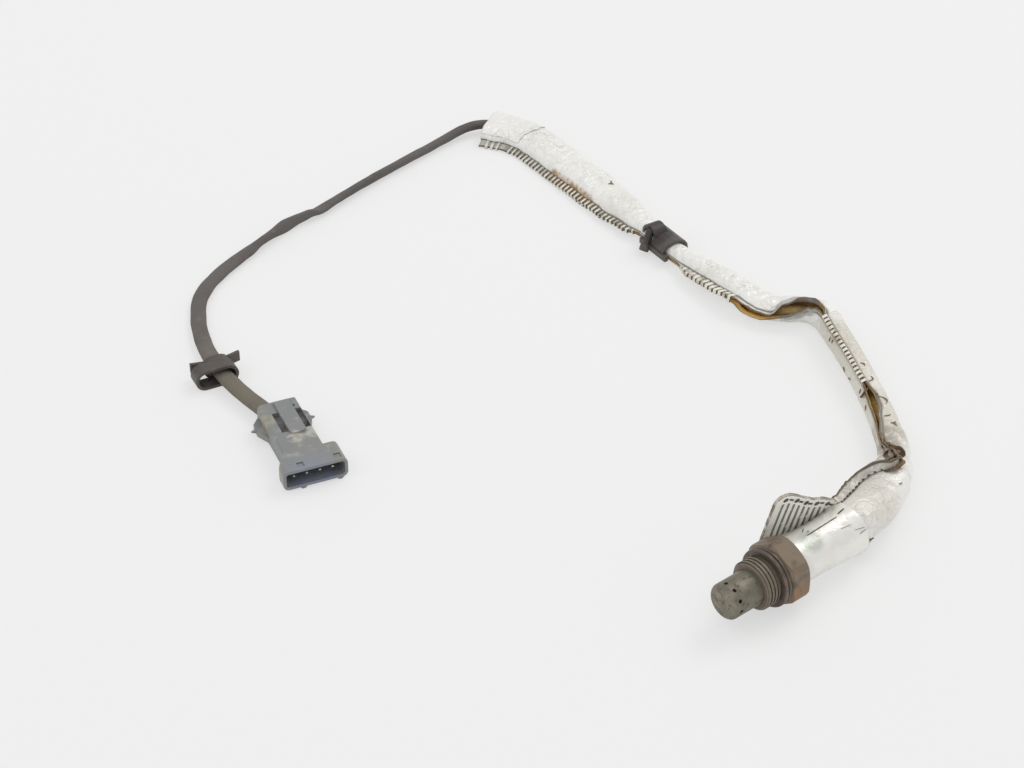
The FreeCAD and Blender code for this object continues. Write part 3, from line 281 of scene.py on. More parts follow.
class Finish:
    """A material under construction: its tree, its colour so far and its shader."""

    def __init__(self, name, colour, roughness=0.5, metallic=0.0):
        self.material = bpy.data.materials.new(name)
        self.material.use_nodes = True
        self.tree = self.material.node_tree
        self.shader = self.tree.nodes["Principled BSDF"]
        self.colour = shade(*colour)
        for label, value in (("Base Color", self.colour), ("Roughness", roughness),
                             ("Metallic", metallic)):
            self.shader.inputs[label].default_value = value
        self.place = add_node(self.tree, "ShaderNodeTexCoord").outputs["Object"]
        self.height = None

    def group(self, group, **values):
        """Place a shared group and set its inputs by name."""
        node = add_node(self.tree, "ShaderNodeGroup", values, node_tree=group)
        if "Vector" in node.inputs:
            self.tree.links.new(self.place, node.inputs["Vector"])
        return node.outputs

    def patches(self, scale, low, high):
        """Mask of soft-edged patches."""
        return self.group(BLOTCHES, Scale=scale, Low=low, High=high)["Mask"]

    def paint(self, mask, colour, strength=1.0):
        """Lay a second colour over what is there, where the mask (or each of two) is."""
        if isinstance(mask, tuple):
            mask = times(*mask)
        if strength != 1.0:
            mask = times(mask, strength)
        mix = add_node(self.tree, "ShaderNodeMix", {
            "Factor": mask, "A": self.colour, "B": shade(*colour)}, data_type="RGBA")
        self.colour = mix.outputs["Result"]
        self.tree.links.new(self.colour, self.shader.inputs["Base Color"])
        return mask

    def blotch(self, colour, scale, low, high, strength):
        """Patches of another colour."""
        return self.paint(self.patches(scale, low, high), colour, strength)

    def near(self, centre, radius, soft):
        """Mask that is 1 inside a ball round a point in metres and fades; both sizes in mm."""
        gap = add_node(self.tree, "ShaderNodeVectorMath", {0: self.place, 1: centre},
                       operation="DISTANCE")
        return less(1.0, spread(gap.outputs["Value"], radius * MM, radius * MM + soft * MM))

    def attribute(self, name):
        """A value stored on the piece's own mesh."""
        return add_node(self.tree, "ShaderNodeAttribute", attribute_name=name).outputs["Fac"]

    def vary(self, socket, mask, low, high):
        """Drive a shader value between two numbers with a mask."""
        node = add_node(self.tree, "ShaderNodeMapRange", {
            "Value": mask, "To Min": low, "To Max": high})
        self.tree.links.new(node.outputs["Result"], self.shader.inputs[socket])

    def bump(self, height, distance, strength):
        """Raise the surface by a height, on top of what is raised already."""
        values = {"Distance": distance, "Strength": strength, "Height": height}
        if self.height is not None:
            values["Normal"] = self.height
        self.height = add_node(self.tree, "ShaderNodeBump", values).outputs["Normal"]
        self.tree.links.new(self.height, self.shader.inputs["Normal"])

    def grain(self, scale, distance, strength):
        """Fine grain as a bump."""
        self.bump(self.group(GRAIN, Scale=scale)["Height"], distance, strength)


def simple_finish(name, colour, roughness, patches, grain):
    """Material with patches of other colours and a fine grain."""
    finish = Finish(name, colour, roughness)
    for patch in patches:
        finish.blotch(*patch)
    finish.grain(*grain)
    return finish


# %% [markdown]
# ## The paper
# Plain paper needs almost nothing: one pale colour for the light that falls on it, and a
# white that only the camera and mirror-like reflections see.

# %% Paper finish
PAPER_SEEN, PAPER_GLOW = 0.672, 0.345      # to the camera, and in reflections


def paper_finish():
    finish = Finish("paper", (232, 232, 231), 0.9)
    tree = finish.tree
    path = add_node(tree, "ShaderNodeLightPath").outputs
    finish.paint(path["Is Camera Ray"], (144, 144, 144))
    mirrored = most(path["Is Glossy Ray"], path["Is Transmission Ray"])
    seen = math_of("ADD", times(path["Is Camera Ray"], PAPER_SEEN), times(mirrored, PAPER_GLOW))
    glow = add_node(tree, "ShaderNodeEmission", {"Color": shade(238, 238, 238), "Strength": seen})
    both = add_node(tree, "ShaderNodeAddShader", {
        0: finish.shader.outputs[0], 1: glow.outputs[0]})
    tree.links.new(both.outputs[0], tree.nodes["Material Output"].inputs["Surface"])
    return finish.material


table.materials.append(paper_finish())


# %% [markdown]
# ## Steel that has been hot
# The hexagon, the shank and the gas cap have been in an exhaust for years. The steel has gone
# brown-grey, matt, and blotched, and a patch of rust has formed low on the right of the
# hexagon. The shapes are right as engineered, so these nodes keep their mesh and only get a
# finish: low metallic, high roughness, two sizes of blotch, and scale as a fine bump.

# %% Steel finishes
def hot_steel(name, base, light, dark, scale, roughness, metallic):
    finish = Finish(name, base, roughness, metallic)
    finish.blotch(light, scale, 0.46, 0.68, 0.75)
    mask = finish.blotch(dark, scale * 2.6, 0.50, 0.72, 0.8)
    finish.vary("Roughness", mask, roughness - 0.06, min(1.0, roughness + 0.14))
    finish.grain(1400.0, 0.00022, 0.8)
    return finish


# name: colour, lighter and darker patches, scale, roughness, metallic
STEEL_ROWS = {
    "hexagon_steel": ((126, 111, 94), (144, 127, 106), (92, 82, 71), 95.0, 0.62, 0.25),
    "tube_steel": ((114, 108, 94), (140, 134, 118), (76, 70, 62), 170.0, 0.56, 0.35),
    "gasket_steel": ((96, 85, 77), (118, 104, 92), (64, 55, 50), 160.0, 0.5, 0.4),
    "inner_steel": ((140, 134, 126), (168, 162, 152), (104, 98, 92), 130.0, 0.42, 0.7),
    "seal_metal": ((150, 140, 124), (176, 166, 148), (112, 102, 90), 150.0, 0.45, 0.6),
    "contact_metal": ((168, 158, 138), (192, 184, 164), (128, 118, 98), 220.0, 0.34, 0.85),
    "terminal_metal": ((176, 168, 146), (204, 198, 180), (132, 122, 102), 240.0, 0.32, 0.85),
}
STEEL = {name: hot_steel(name, *row) for name, row in STEEL_ROWS.items()}
hexagon = STEEL["hexagon_steel"]
# the thread is greyer than the hexagon
hexagon.paint(hexagon.near((4.5 * MM, 0.0, 0.0), 9.6, 1.0), (114, 105, 94), 0.75)
rust_spot = hexagon.near((-6.5 * MM, 9.5 * MM, -4.0 * MM), 3.2, 3.5)
hexagon.paint((hexagon.patches(210.0, 0.36, 0.6), rust_spot), (158, 112, 72), 0.7)
print("steel finishes:", len(STEEL))


# %% [markdown]
# ## Ceramic, talc and rubber inside the head
# The sealed inner pieces don't show in the picture, but a cut-away or an exploded view shows
# them, so each gets the finish of its stuff: chalky white ceramic with a faint stain, grey
# talc, and dull grey-green rubber.

# %% Finishes of the inner pieces
# name: colour, stain, scale of the stain, roughness, scale of the grain
INNER_ROWS = {
    "ceramic": ((226, 222, 210), (196, 188, 170), 110.0, 0.6, 2600.0),
    "heater_ceramic": ((206, 204, 200), (172, 166, 158), 150.0, 0.5, 2600.0),
    "talc": ((178, 178, 172), (146, 144, 138), 320.0, 0.95, 1800.0),
    "grommet_rubber": ((86, 84, 78), (62, 60, 56), 140.0, 0.75, 2200.0),
    "wire_cover": ((150, 146, 138), (118, 112, 104), 160.0, 0.5, 2400.0),
}
INNER = {name: simple_finish(name, base, roughness, [(stain, scale, 0.48, 0.74, 0.7)],
                             (grain, 0.00012, 0.6))
         for name, (base, stain, scale, roughness, grain) in INNER_ROWS.items()}
print("inner finishes:", len(INNER))


# %% [markdown]
# ## Moulded plastics
# The connector is grey nylon, scuffed and a little yellowed where it was warm, and bluish
# inside its mouth, with painted shade in its slots. The two clips are near black-brown, with
# painted shade in the hood of the sleeve's clip. Moulded plastic is smooth but never even: soft
# blotches of wear, a faint grain, and a mild gloss that changes with the wear.

# %% Plastic finishes
def unit(degrees):
    """Cosine and sine of an angle in degrees."""
    return math.cos(math.radians(degrees)), math.sin(math.radians(degrees))


CONNECTOR_AT = Vector((65.6, -192.2, -12.0))
AHEAD = Vector((*unit(73.5), 0.0))
ASIDE = Vector((-AHEAD.y, AHEAD.x, 0.0))
# place along, across and up in mm, reach in mm, colour, strength: painted shade in the slots,
# scuffs, warm flank
CONNECTOR_SPOTS = [
    # the first four rows are painted shade in the slots on either side of the latch arm
    (14.0, -3.6, 6.8, 1.2, (84, 60, 58), 0.85), (18.0, -3.4, 6.8, 0.8, (70, 48, 46), 0.85),
    (9.0, 5.6, 6.8, 1.0, (104, 86, 82), 0.7), (16.0, 5.6, 6.8, 1.2, (66, 52, 52), 0.85),
    (24.0, -1.0, 9.0, 2.2, (198, 192, 178), 0.6), (23.0, 6.0, 9.0, 2.4, (196, 192, 182), 0.6),
    (10.0, -7.6, 8.0, 3.0, (170, 162, 136), 0.6), (38.0, -11.0, 4.0, 3.4, (168, 162, 134), 0.6),
    (40.0, 4.5, 1.5, 4.0, (104, 108, 138), 0.7), (40.0, -4.5, 1.5, 4.0, (104, 108, 138), 0.7),
]
# bluish place low on the flank, and the painted reddish shade in the recess inside the hood of the
# sleeve's clip
BLUE_PLACE = (0.0795, -0.1500, FLOOR + 2.0 * MM)
CLIP_HOOD = (-0.1248, -0.1873, -0.0030)


def on_connector(forward, aside, up):
    """Point of the connector in metres, from millimetres in its own directions."""
    return (CONNECTOR_AT + AHEAD * forward + ASIDE * aside + Vector((0.0, 0.0, up))) * MM


def plastic(name, base, worn, warm, roughness):
    finish = Finish(name, base, roughness)
    finish.blotch(warm, 70.0, 0.48, 0.7, 0.5)
    mask = finish.blotch(worn, 238.0, 0.54, 0.72, 0.55)
    finish.vary("Roughness", mask, roughness, min(1.0, roughness + 0.2))
    finish.grain(1900.0, 0.00010, 0.6)
    return finish


# name: colour, worn colour, warm patches, roughness
PLASTIC_ROWS = {
    "connector_plastic": ((130, 132, 132), (172, 171, 166), (148, 141, 128), 0.48),
    "retainer_plastic": ((120, 122, 122), (150, 150, 148), (124, 120, 110), 0.5),
    "lock_plastic": ((92, 96, 112), (120, 124, 138), (84, 84, 92), 0.42),
    "clip_plastic": ((80, 74, 70), (112, 106, 100), (66, 57, 57), 0.5),
}
PLASTIC = {name: plastic(name, *row) for name, row in PLASTIC_ROWS.items()}
housing = PLASTIC["connector_plastic"]
# the slots get painted shade; the other spots are scuffs and warm patches
for forward, aside, up, reach, colour, strength in CONNECTOR_SPOTS:
    spot = housing.near(on_connector(forward, aside, up), reach, 2.0)
    housing.paint((spot, housing.patches(430.0, 0.36, 0.56)), colour, strength)
housing.paint(housing.near(BLUE_PLACE, 6.0, 9.0), (134, 140, 156), 0.5)
clip = PLASTIC["clip_plastic"]
# painted shade in the recess of the clip's hood
clip.paint(clip.near(CLIP_HOOD, 5.0, 3.0), (50, 41, 40), 0.85)
print("plastic finishes:", len(PLASTIC))


# %% [markdown]
# ## The route of the lead
# The lead runs from the grommet, through the foil sleeve, and on along the table to the
# connector. It is one smooth NURBS curve through the same control points as the engineering
# model's tube. Everything that lies along the lead is measured along this curve, so nothing
# can drift away from it.

# %% Route points and the points of the smooth curve
LEAD_POINTS = [
    (-36.0, 0.0, 0.0), (-54.0, -2.5, -1.6), (-72.0, -10.5, -5.6), (-90.0, -21.5, -8.0),
    (-105.0, -41.0, -8.3), (-119.5, -65.5, -8.3), (-131.0, -88.0, -8.3), (-141.0, -109.5, -8.3),
    (-121.5, -122.5, -8.3), (-125.0, -148.0, -8.3), (-125.5, -178.0, -8.3), (-131.0, -210.0, -8.3),
    (-135.5, -242.0, -8.3), (-138.5, -270.0, -8.3), (-141.8, -293.5, -8.4), (-132.5, -315.5, -7.4),
    (-106.0, -313.8, -9.6), (-78.0, -309.8, -10.3), (-50.0, -305.2, -10.3), (-31.0, -301.6, -10.0),
    (-12.0, -299.6, -10.3), (9.0, -295.0, -10.2), (27.0, -289.0, -10.3), (42.5, -280.5, -10.3),
    (53.0, -266.5, -10.2), (60.5, -251.5, -9.8), (66.0, -236.0, -8.2), (68.8, -221.5, -8.0),
    (69.2, -207.0, -8.2), (69.0, -191.8, -8.0),
]
SHARED = 14
SLEEVE_END_POINTS = [(-140.4, -284.0, -8.3), (-139.5, -297.5, -8.3), (-132.6, -309.6, -8.3)]


def route_curve(name, points):
    """Open NURBS curve of order 3 through control points given in millimetres."""
    data = bpy.data.curves.new(name, "CURVE")
    data.dimensions = "3D"
    data.resolution_u = 24
    spline = data.splines.new("NURBS")
    spline.points.add(len(points) - 1)
    for target, point in zip(spline.points, points):
        target.co = (point[0] * MM, point[1] * MM, point[2] * MM, 1.0)
    spline.order_u = 3
    spline.use_endpoint_u = True
    return bpy.data.objects.new(name, data)


def points_of(curve):
    """Points that Blender itself gives for a curve with no bevel, in order."""
    bpy.context.scene.collection.objects.link(curve)
    mesh = plain_mesh(curve)
    found = [v.co.copy() for v in mesh.vertices]
    bpy.data.meshes.remove(mesh)
    bpy.data.objects.remove(curve)
    return found


def plain_mesh(thing):
    """Mesh of an object with its modifiers applied."""
    graph = bpy.context.evaluated_depsgraph_get()
    return bpy.data.meshes.new_from_object(thing.evaluated_get(graph), depsgraph=graph)


class Track:
    """A chain of points with distances, to be read at any distance along it."""

    def __init__(self, points):
        self.points = points
        self.sums = [0.0]
        for a, b in zip(points, points[1:]):
            self.sums.append(self.sums[-1] + (b - a).length)
        self.length = self.sums[-1]

    def at(self, distance):
        """Point and direction at a distance; beyond the ends it runs straight on."""
        low, high = 0, len(self.sums) - 2
        while low < high:
            middle = (low + high + 1) // 2
            if self.sums[middle] <= distance:
                low = middle
            else:
                high = middle - 1
        a, b = self.points[low], self.points[low + 1]
        way = (b - a).normalized()
        return a + way * (distance - self.sums[low]), way

    def smooth(self, distance, reach=0.0012):
        """Point at a distance, with the direction averaged over a short reach."""
        spot = self.at(distance)[0]
        way = self.at(distance + reach)[0] - self.at(distance - reach)[0]
        return spot, way.normalized()


lead_track = Track(points_of(route_curve("lead_route", LEAD_POINTS)))
sleeve_track = Track(points_of(route_curve("sleeve_route",
                                           LEAD_POINTS[:SHARED] + SLEEVE_END_POINTS)))
print("lead %.1f mm, sleeve route %.1f mm" % (lead_track.length / MM, sleeve_track.length / MM))


# %% [markdown]
# ## The lead's cover
# Four wires run in one woven cover. In the foil it is round. Outside, it has gone flat, and it
# turns over on itself twice on the way to the connector, so it looks now wide, now narrow.
# A bevelled curve can't change its section along the way, so the tube is a mesh: one oval ring
# at each point of the track, with its own width, height and roll. Where the oval would sink
# into the table, the ring is lifted until it rests on it.

# %% Section of the lead along its length
# distance in mm, width, height, roll in degrees
COVER_ROWS = [
    (0.0, 5.0, 5.0, 0.0), (330.0, 5.0, 5.0, 0.0), (370.0, 5.6, 4.2, 30.0), (400.0, 6.0, 3.8, 40.0),
    (440.0, 6.2, 3.6, 50.0), (462.0, 6.8, 3.4, 30.0), (471.0, 7.2, 3.2, 20.0),
    (480.0, 6.8, 3.3, 60.0), (491.0, 6.4, 3.4, 88.0), (503.0, 6.8, 3.4, 50.0),
    (516.0, 7.2, 3.3, 12.0), (531.0, 6.8, 3.5, 4.0), (548.0, 6.4, 3.6, 0.0), (580.0, 6.4, 3.6, 0.0),
    (602.0, 7.0, 3.8, 0.0), (640.0, 7.2, 4.0, 0.0), (660.0, 7.2, 4.2, 0.0),
]
COVER_STEP = 0.0015
COVER_SIDES = 28


def read_rows(rows, distance, eased=True):
    """Values between two rows of a table, eased so that there is no corner at a row."""
    for low, high in zip(rows, rows[1:]):
        if distance <= high[0]:
            share = min(1.0, max(0.0, (distance - low[0]) / (high[0] - low[0])))
            if eased:
                share = share * share * (3.0 - 2.0 * share)
            return [a + (b - a) * share for a, b in zip(low[1:], high[1:])]
    return list(rows[-1][1:])


def grid_faces(rows, columns):
    """Faces of a sheet of points that are listed row by row."""
    row = columns + 1
    return [(a, a + 1, a + 1 + row, a + row)
            for i in range(rows) for a in range(i * row, i * row + columns)]


def shell_faces(rows, columns):
    """Faces of a thin closed shell: all points of a sheet's one side, then of its other side.
    Both sides are split along the same diagonals, so that the wall stays even."""
    row, size = columns + 1, (rows + 1) * (columns + 1)
    faces = grid_faces(rows, columns)
    faces += [(a + size, d + size, c + size, b + size) for a, b, c, d in faces]
    rim = [(a, a + 1) for i in (0, rows) for a in range(i * row, i * row + columns)]
    rim += [(a, a + row) for i in range(rows) for a in (i * row, i * row + columns)]
    return faces + [(a, size + a, size + b, b) for a, b in rim]


def joined(forms):
    """Vertices and faces of several small forms as one."""
    vertices, faces = [], []
    for more_vertices, more_faces in forms:
        faces += [tuple(v + len(vertices) for v in face) for face in more_faces]
        vertices += more_vertices
    return vertices, faces


def new_piece(name, vertices, faces, uvs=None, values=None, material=None, smooth=True):
    """Mesh object; for each vertex a UV pair in metres and numbers for the material to read."""
    mesh = bpy.data.meshes.new(name)
    mesh.from_pydata(vertices, [], faces)
    mesh.materials.append(material)
    mesh.polygons.foreach_set("use_smooth", [smooth] * len(mesh.polygons))
    mesh.validate()
    if uvs:
        layer = mesh.uv_layers.new(name="cloth")
        for loop in mesh.loops:
            layer.data[loop.index].uv = uvs[loop.vertex_index]
    for label, numbers in (values or {}).items():
        mesh.attributes.new(label, "FLOAT", "POINT").data.foreach_set("value", numbers)
    return into_scene(name, mesh)


def mend(piece, weld=0.0, fill=False):
    """Weld near points and fill holes where asked, and turn the faces outwards."""
    work = bmesh.new()
    work.from_mesh(piece.data)
    if weld:
        bmesh.ops.remove_doubles(work, verts=work.verts, dist=weld)
    if fill:
        bmesh.ops.holes_fill(work, edges=[e for e in work.edges if e.is_boundary], sides=0)
    bmesh.ops.recalc_face_normals(work, faces=work.faces)
    work.to_mesh(piece.data)
    work.free()
    print(piece.name, "triangles", sum(len(p.vertices) - 2 for p in piece.data.polygons))


# %% Woven cover of the lead
def cover_finish():
    finish = Finish("lead_sleeve", (99, 94, 92), 0.78)
    finish.paint(finish.attribute("warm"), (122, 114, 98), 0.85)
    inside = finish.attribute("inside")
    finish.paint(inside, (236, 200, 128), 0.95)
    finish.paint((finish.patches(120.0, 0.42, 0.62), inside), (150, 108, 58), 0.7)
    finish.blotch((76, 71, 69), 46.0, 0.44, 0.7, 0.55)
    finish.blotch((128, 122, 116), 260.0, 0.56, 0.72, 0.5)
    weave = finish.group(WEAVE, Across=2600.0, Along=2600.0)["Height"]
    finish.paint(weave, (112, 107, 104), 0.35)
    finish.bump(weave, 0.00025, 0.6)
    finish.grain(900.0, 0.0003, 0.5)
    return finish.material


def lead_cover(track, rows, start, end):
    """Tube of oval rings along the track, and the centres of its rings."""
    vertices, uvs, warm, inside, centres = [], [], [], [], []
    count = math.ceil((end - start) / COVER_STEP)
    for index in range(count + 1):
        distance = start + (end - start) * index / count
        spot, way = track.smooth(distance)
        width, height, roll = read_rows(rows, distance / MM)
        level = Vector((way.x, way.y, 0.0)).normalized()
        left = Vector((-level.y, level.x, 0.0))
        up = left.cross(way) * -1.0
        if up.z < 0:
            up = -up
        turn = math.radians(roll)
        axis_a = left * math.cos(turn) + up * math.sin(turn)
        axis_b = up * math.cos(turn) - left * math.sin(turn)
        ruck = 1.0 + 0.05 * noise.noise(Vector((distance * 90.0, 0.0, 3.0)))
        half_a, half_b = width / 2 * MM * ruck, height / 2 * MM
        reach = math.hypot(half_a * axis_a.z, half_b * axis_b.z)
        spot = Vector((spot.x, spot.y, max(spot.z, FLOOR + reach + 0.05 * MM)))
        centres.append(spot)
        for side in range(COVER_SIDES + 1):
            angle = 2 * math.pi * side / COVER_SIDES
            around = Vector((distance * 160.0, math.cos(angle) * 1.2, math.sin(angle) * 1.2))
            crease = 0.16 * MM * noise.noise(around)
            point = spot + axis_a * math.cos(angle) * (half_a + crease)
            point += axis_b * math.sin(angle) * (half_b + crease)
            vertices.append(point)
            uvs.append((side / COVER_SIDES * (width + height) * 1.57 * MM, distance))
            warm.append(min(1.0, max(0.0, (distance / MM - 560.0) / 70.0)))
            inside.append(min(1.0, max(0.0, (330.0 - distance / MM) / 20.0)))
    made = (vertices, grid_faces(count, COVER_SIDES), uvs, {"warm": warm, "inside": inside})
    return made, centres


made, lead_centres = lead_cover(lead_track, COVER_ROWS, 0.0008, lead_track.length - 0.0004)
lead_piece = new_piece("lead_cover", *made, material=cover_finish())
mend(lead_piece, weld=0.00002, fill=True)
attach(lead_piece, "root")
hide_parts("lead")


# %% [markdown]
# ## The foil sleeve
# The sleeve is one strip of foil-faced cloth, folded lengthwise round the lead. Its two edges
# are laid together and overstitched, and they stand out from the seam as a flange. At the
# sharp kink the stitches have gone and the seam gapes, so that the ochre lining shows. The
# strip is crumpled, and much more so towards its far end.
#
# A cloth simulation would not find these old creases. The sleeve is lofted instead: at each
# step along the route one section is worked out, from one edge of the strip round to the other,
# and the same crumple pattern moves the outside and the lining together, so that the cloth
# keeps its thickness.

# %% The sleeve's section along its length
SLEEVE_WALL = 0.6
SQUARENESS = 0.86
# distance in mm, width, height, seam angle, gap, flange, shift to the left of the lead
SLEEVE_ROWS = [
    (2.7, 14.0, 14.0, 22.0, 0.3, 0.2, 0), (7.2, 14.4, 14.4, 22.0, 0.3, 0.4, 0),
    (13.7, 16.2, 15.2, 20.0, 0.3, 3.8, 0), (24.0, 17.2, 14.6, 17.0, 0.3, 4.6, 0),
    (33.0, 17.0, 13.8, 24.0, 0.3, 4.4, 0), (37.0, 16.8, 13.5, 42.0, 0.4, 4.2, -0.1),
    (40.0, 16.6, 13.3, 64.0, 0.5, 4.2, -0.2), (43.5, 16.6, 12.9, 86.0, 0.6, 4.0, -0.4),
    (48.0, 15.8, 12.5, 93.0, 0.8, 3.2, -0.5), (53.0, 14.8, 12.0, 84.0, 0.8, 2.2, -0.6),
    (58.0, 13.2, 11.2, 66.0, 0.7, 1.4, -0.6), (63.0, 12.5, 11.0, 48.0, 0.6, 1.0, -0.5),
    (68.0, 12.0, 10.8, 42.0, 0.7, 0.9, -0.4), (78.0, 11.2, 10.2, 54.0, 1.3, 1.0, 0),
    (88.0, 10.8, 9.9, 63.0, 2.8, 1.2, 0), (94.0, 10.7, 9.7, 66.0, 2.4, 1.2, 0),
    (101.0, 10.6, 9.6, 66.0, 0.5, 1.6, 0), (109.0, 10.4, 9.5, 62.0, 0.3, 2.2, 0),
    (138.0, 10.8, 9.5, 60.0, 0.3, 2.4, 0), (148.0, 11.4, 9.5, 64.0, 0.5, 2.4, 0),
    (153.0, 12.4, 9.5, 68.0, 1.6, 2.2, -0.3), (159.0, 13.0, 9.6, 64.0, 4.2, 2.2, -0.4),
    (166.0, 12.8, 9.6, 52.0, 6.4, 2.5, -0.4), (172.0, 12.4, 9.4, 34.0, 6.0, 2.3, -0.6),
    (176.5, 12.8, 9.3, 4.0, 1.2, 1.7, -1.0), (180.0, 13.6, 9.2, -6.0, 4.6, 1.2, -1.4),
    (184.0, 14.2, 9.2, -4.0, 6.0, 1.2, -1.8), (188.5, 14.2, 9.2, 16.0, 2.6, 2.4, -1.8),
    (192.0, 14.0, 9.2, 16.0, 0.4, 3.4, -1.8), (203.0, 12.4, 9.0, 6.0, 0.3, 3.8, -1.0),
    (217.0, 10.8, 8.6, 0.0, 0.3, 3.2, -0.3), (227.0, 9.6, 7.6, 0.0, 0.3, 0.4, 0),
    (252.5, 9.6, 7.6, 0.0, 0.3, 0.4, 0), (261.5, 12.8, 8.0, -8.0, 0.3, 2.4, -0.3),
    (277.5, 17.0, 8.0, -16.0, 0.3, 3.0, -0.8), (297.5, 19.6, 7.8, -22.0, 1.4, 3.0, -1.0),
    (317.5, 20.0, 7.6, -25.0, 0.8, 3.2, -1.0), (339.5, 19.8, 7.6, -25.0, 0.3, 3.4, -0.8),
    (350.5, 21.0, 7.6, -25.0, 0.3, 3.6, -0.6), (367.2, 22.6, 7.8, -25.0, 0.3, 3.8, -0.6),
]
# distance in mm, depth of the crumples in mm, size of one crumple in mm
CRUMPLE_ROWS = [
    (0.0, 0.25, 6.0), (50.0, 0.35, 6.0), (70.0, 0.22, 5.0), (150.0, 0.25, 5.0),
    (168.0, 0.5, 5.0), (190.0, 0.4, 5.0), (232.0, 0.18, 4.0), (262.0, 0.55, 6.0),
    (300.0, 0.75, 7.0), (367.0, 0.7, 7.0),
]


def oval(angle, half_width, half_height):
    """Point of the rounded-rectangle section at an angle in degrees."""
    c, s = unit(angle)
    return (half_width * math.copysign(abs(c) ** SQUARENESS, c),
            half_height * math.copysign(abs(s) ** SQUARENESS, s))


def facets(point, size):
    """Height from 0 to 1 of crumpled foil: flat facets that meet in creases."""
    near = noise.voronoi(point / (size * MM))[0]
    broad = noise.noise(point / (size * 2.2 * MM))
    return min(1.0, (near[1] - near[0]) * 1.6) * 0.7 + 0.3 * broad


def sleeve_frame(distance):
    """Middle of the section, the direction to its left, and its values at a distance in mm."""
    spot, way = sleeve_track.smooth(distance * MM, 0.002)
    values = read_rows(SLEEVE_ROWS, distance)
    level = Vector((way.x, way.y, 0.0)).normalized()
    left = Vector((-level.y, level.x, 0.0))
    height = values[1] * MM
    lift = max(spot.z, FLOOR + 0.04 * MM + height / 2)
    return Vector((spot.x, spot.y, lift)) + left * values[5] * MM, left, values


def in_frame(middle, left, x, y):
    """Point in a section, from millimetres to the left and up."""
    return middle + left * x * MM + Vector((0, 0, y * MM))


def crumple(base, middle, distance):
    """Move of a point of the skin, towards the middle of the section."""
    depth, size = read_rows(CRUMPLE_ROWS, distance)
    inward = (middle - base)
    if inward.length < 1e-6:
        return Vector((0.0, 0.0, 0.0))
    return inward.normalized() * (depth * MM * (1.0 - facets(base, size)))


def on_skin(distance, angle, lift=0.0):
    """Point of the sleeve's outside at a distance and an angle, raised by a lift in mm."""
    middle, left, values = sleeve_frame(distance)
    half_width, half_height = values[0] / 2, values[1] / 2
    base = in_frame(middle, left, *oval(angle, half_width, half_height))
    raised = in_frame(middle, left, *oval(angle, half_width + lift, half_height + lift))
    return raised + crumple(base, middle, distance)


# %% The foil sleeve itself
SLEEVE_STEP = 1.1
ROUND_POINTS = 76
FLANGE_POINTS = 6
PLAIN_SEAM_TO = 46.0
FRAY = 1.3


def strip_chain(distance, inset):
    """Points from one edge of the strip round to the other, and how near each is to an edge."""
    middle, left, values = sleeve_frame(distance)
    width, height, seam, gap, flange, _ = values
    half = math.degrees((gap / 2 + SLEEVE_WALL - inset)
                        / math.hypot(*oval(seam, width / 2, height / 2)))
    ragged = 1.0 + 0.16 * noise.noise(Vector((distance * 0.33, 5.0, 0.0)))
    sway = 0.35 * noise.noise(Vector((distance * 0.21, 1.0, 9.0)))
    c, s = unit(seam)
    flat, edge = [], []
    for angle, order in ((seam + half, 1), (seam - half, -1)):
        root = oval(angle, width / 2, height / 2)
        shares = [1.0 - i / FLANGE_POINTS for i in range(FLANGE_POINTS)]
        if order < 0:
            shares.reverse()
            for index in range(ROUND_POINTS):
                turn = seam + half + (360.0 - 2 * half) * index / (ROUND_POINTS - 1)
                flat.append(oval(turn, width / 2 - inset, height / 2 - inset))
                close = min(index, ROUND_POINTS - 1 - index) / 9.0
                edge.append(max(0.0, (0.45 if distance > PLAIN_SEAM_TO else 0.36) * (1.0 - close)))
        flat += [(root[0] + c * flange * ragged * t - s * sway * t * t,
                  root[1] + s * flange * ragged * t + c * sway * t * t) for t in shares]
        edge += [0.5 + 0.5 * t for t in shares]
    points = []
    for (x, y), e in zip(flat, edge):
        base = in_frame(middle, left, x, y)
        moved = base + crumple(base, middle, distance) * (1.0 if e < 0.5 else 0.6)
        moved.z = max(moved.z, FLOOR + (0.03 + inset) * MM)
        points.append(moved)
    return points, edge


def foil_sleeve():
    """Closed shell of the folded strip, with its lining and its frayed far end."""
    first, last = SLEEVE_ROWS[0][0], SLEEVE_ROWS[-1][0]
    count = math.ceil((last - first) / SLEEVE_STEP)
    vertices, uvs, lining, edges = [], [], [], []
    for inset, is_lining in ((0.0, 0.0), (SLEEVE_WALL, 1.0)):
        for index in range(count + 1):
            distance = first + (last - first) * index / count
            way = sleeve_track.smooth(distance * MM)[1]
            points, edge = strip_chain(distance, inset)
            around = 0.0
            for place, point in enumerate(points):
                if place:
                    around += (point - points[place - 1]).length
                if index == count:
                    point = point + way * FRAY * MM * noise.noise(Vector((place * 0.19, 2.0, 0.0)))
                vertices.append(point)
                uvs.append((around, distance * MM))
            lining += [is_lining] * len(points)
            edges += edge
    faces = shell_faces(count, ROUND_POINTS + 2 * FLANGE_POINTS - 1)
    return vertices, faces, uvs, {"lining": lining, "edge": edges}


# places on the skin: distance in mm, angle, reach in mm (and strength, where it has gone grey:
# dirt, and painted shade on the side that faces away from the light)
GREYED_AND_SHADED = [(22.0, 60.0, 9.0, 0.6), (125.0, 0.0, 16.0, 0.7), (84.0, 0.0, 14.0, 0.7)]
DIRTY = [(66.0, 10.0, 8.0), (54.0, 40.0, 6.0)]
# the line where the far fold has been rubbed through
RUBBED = [(288.0 + 3.3 * step, -16.0 - 0.3 * step) for step in range(9)]


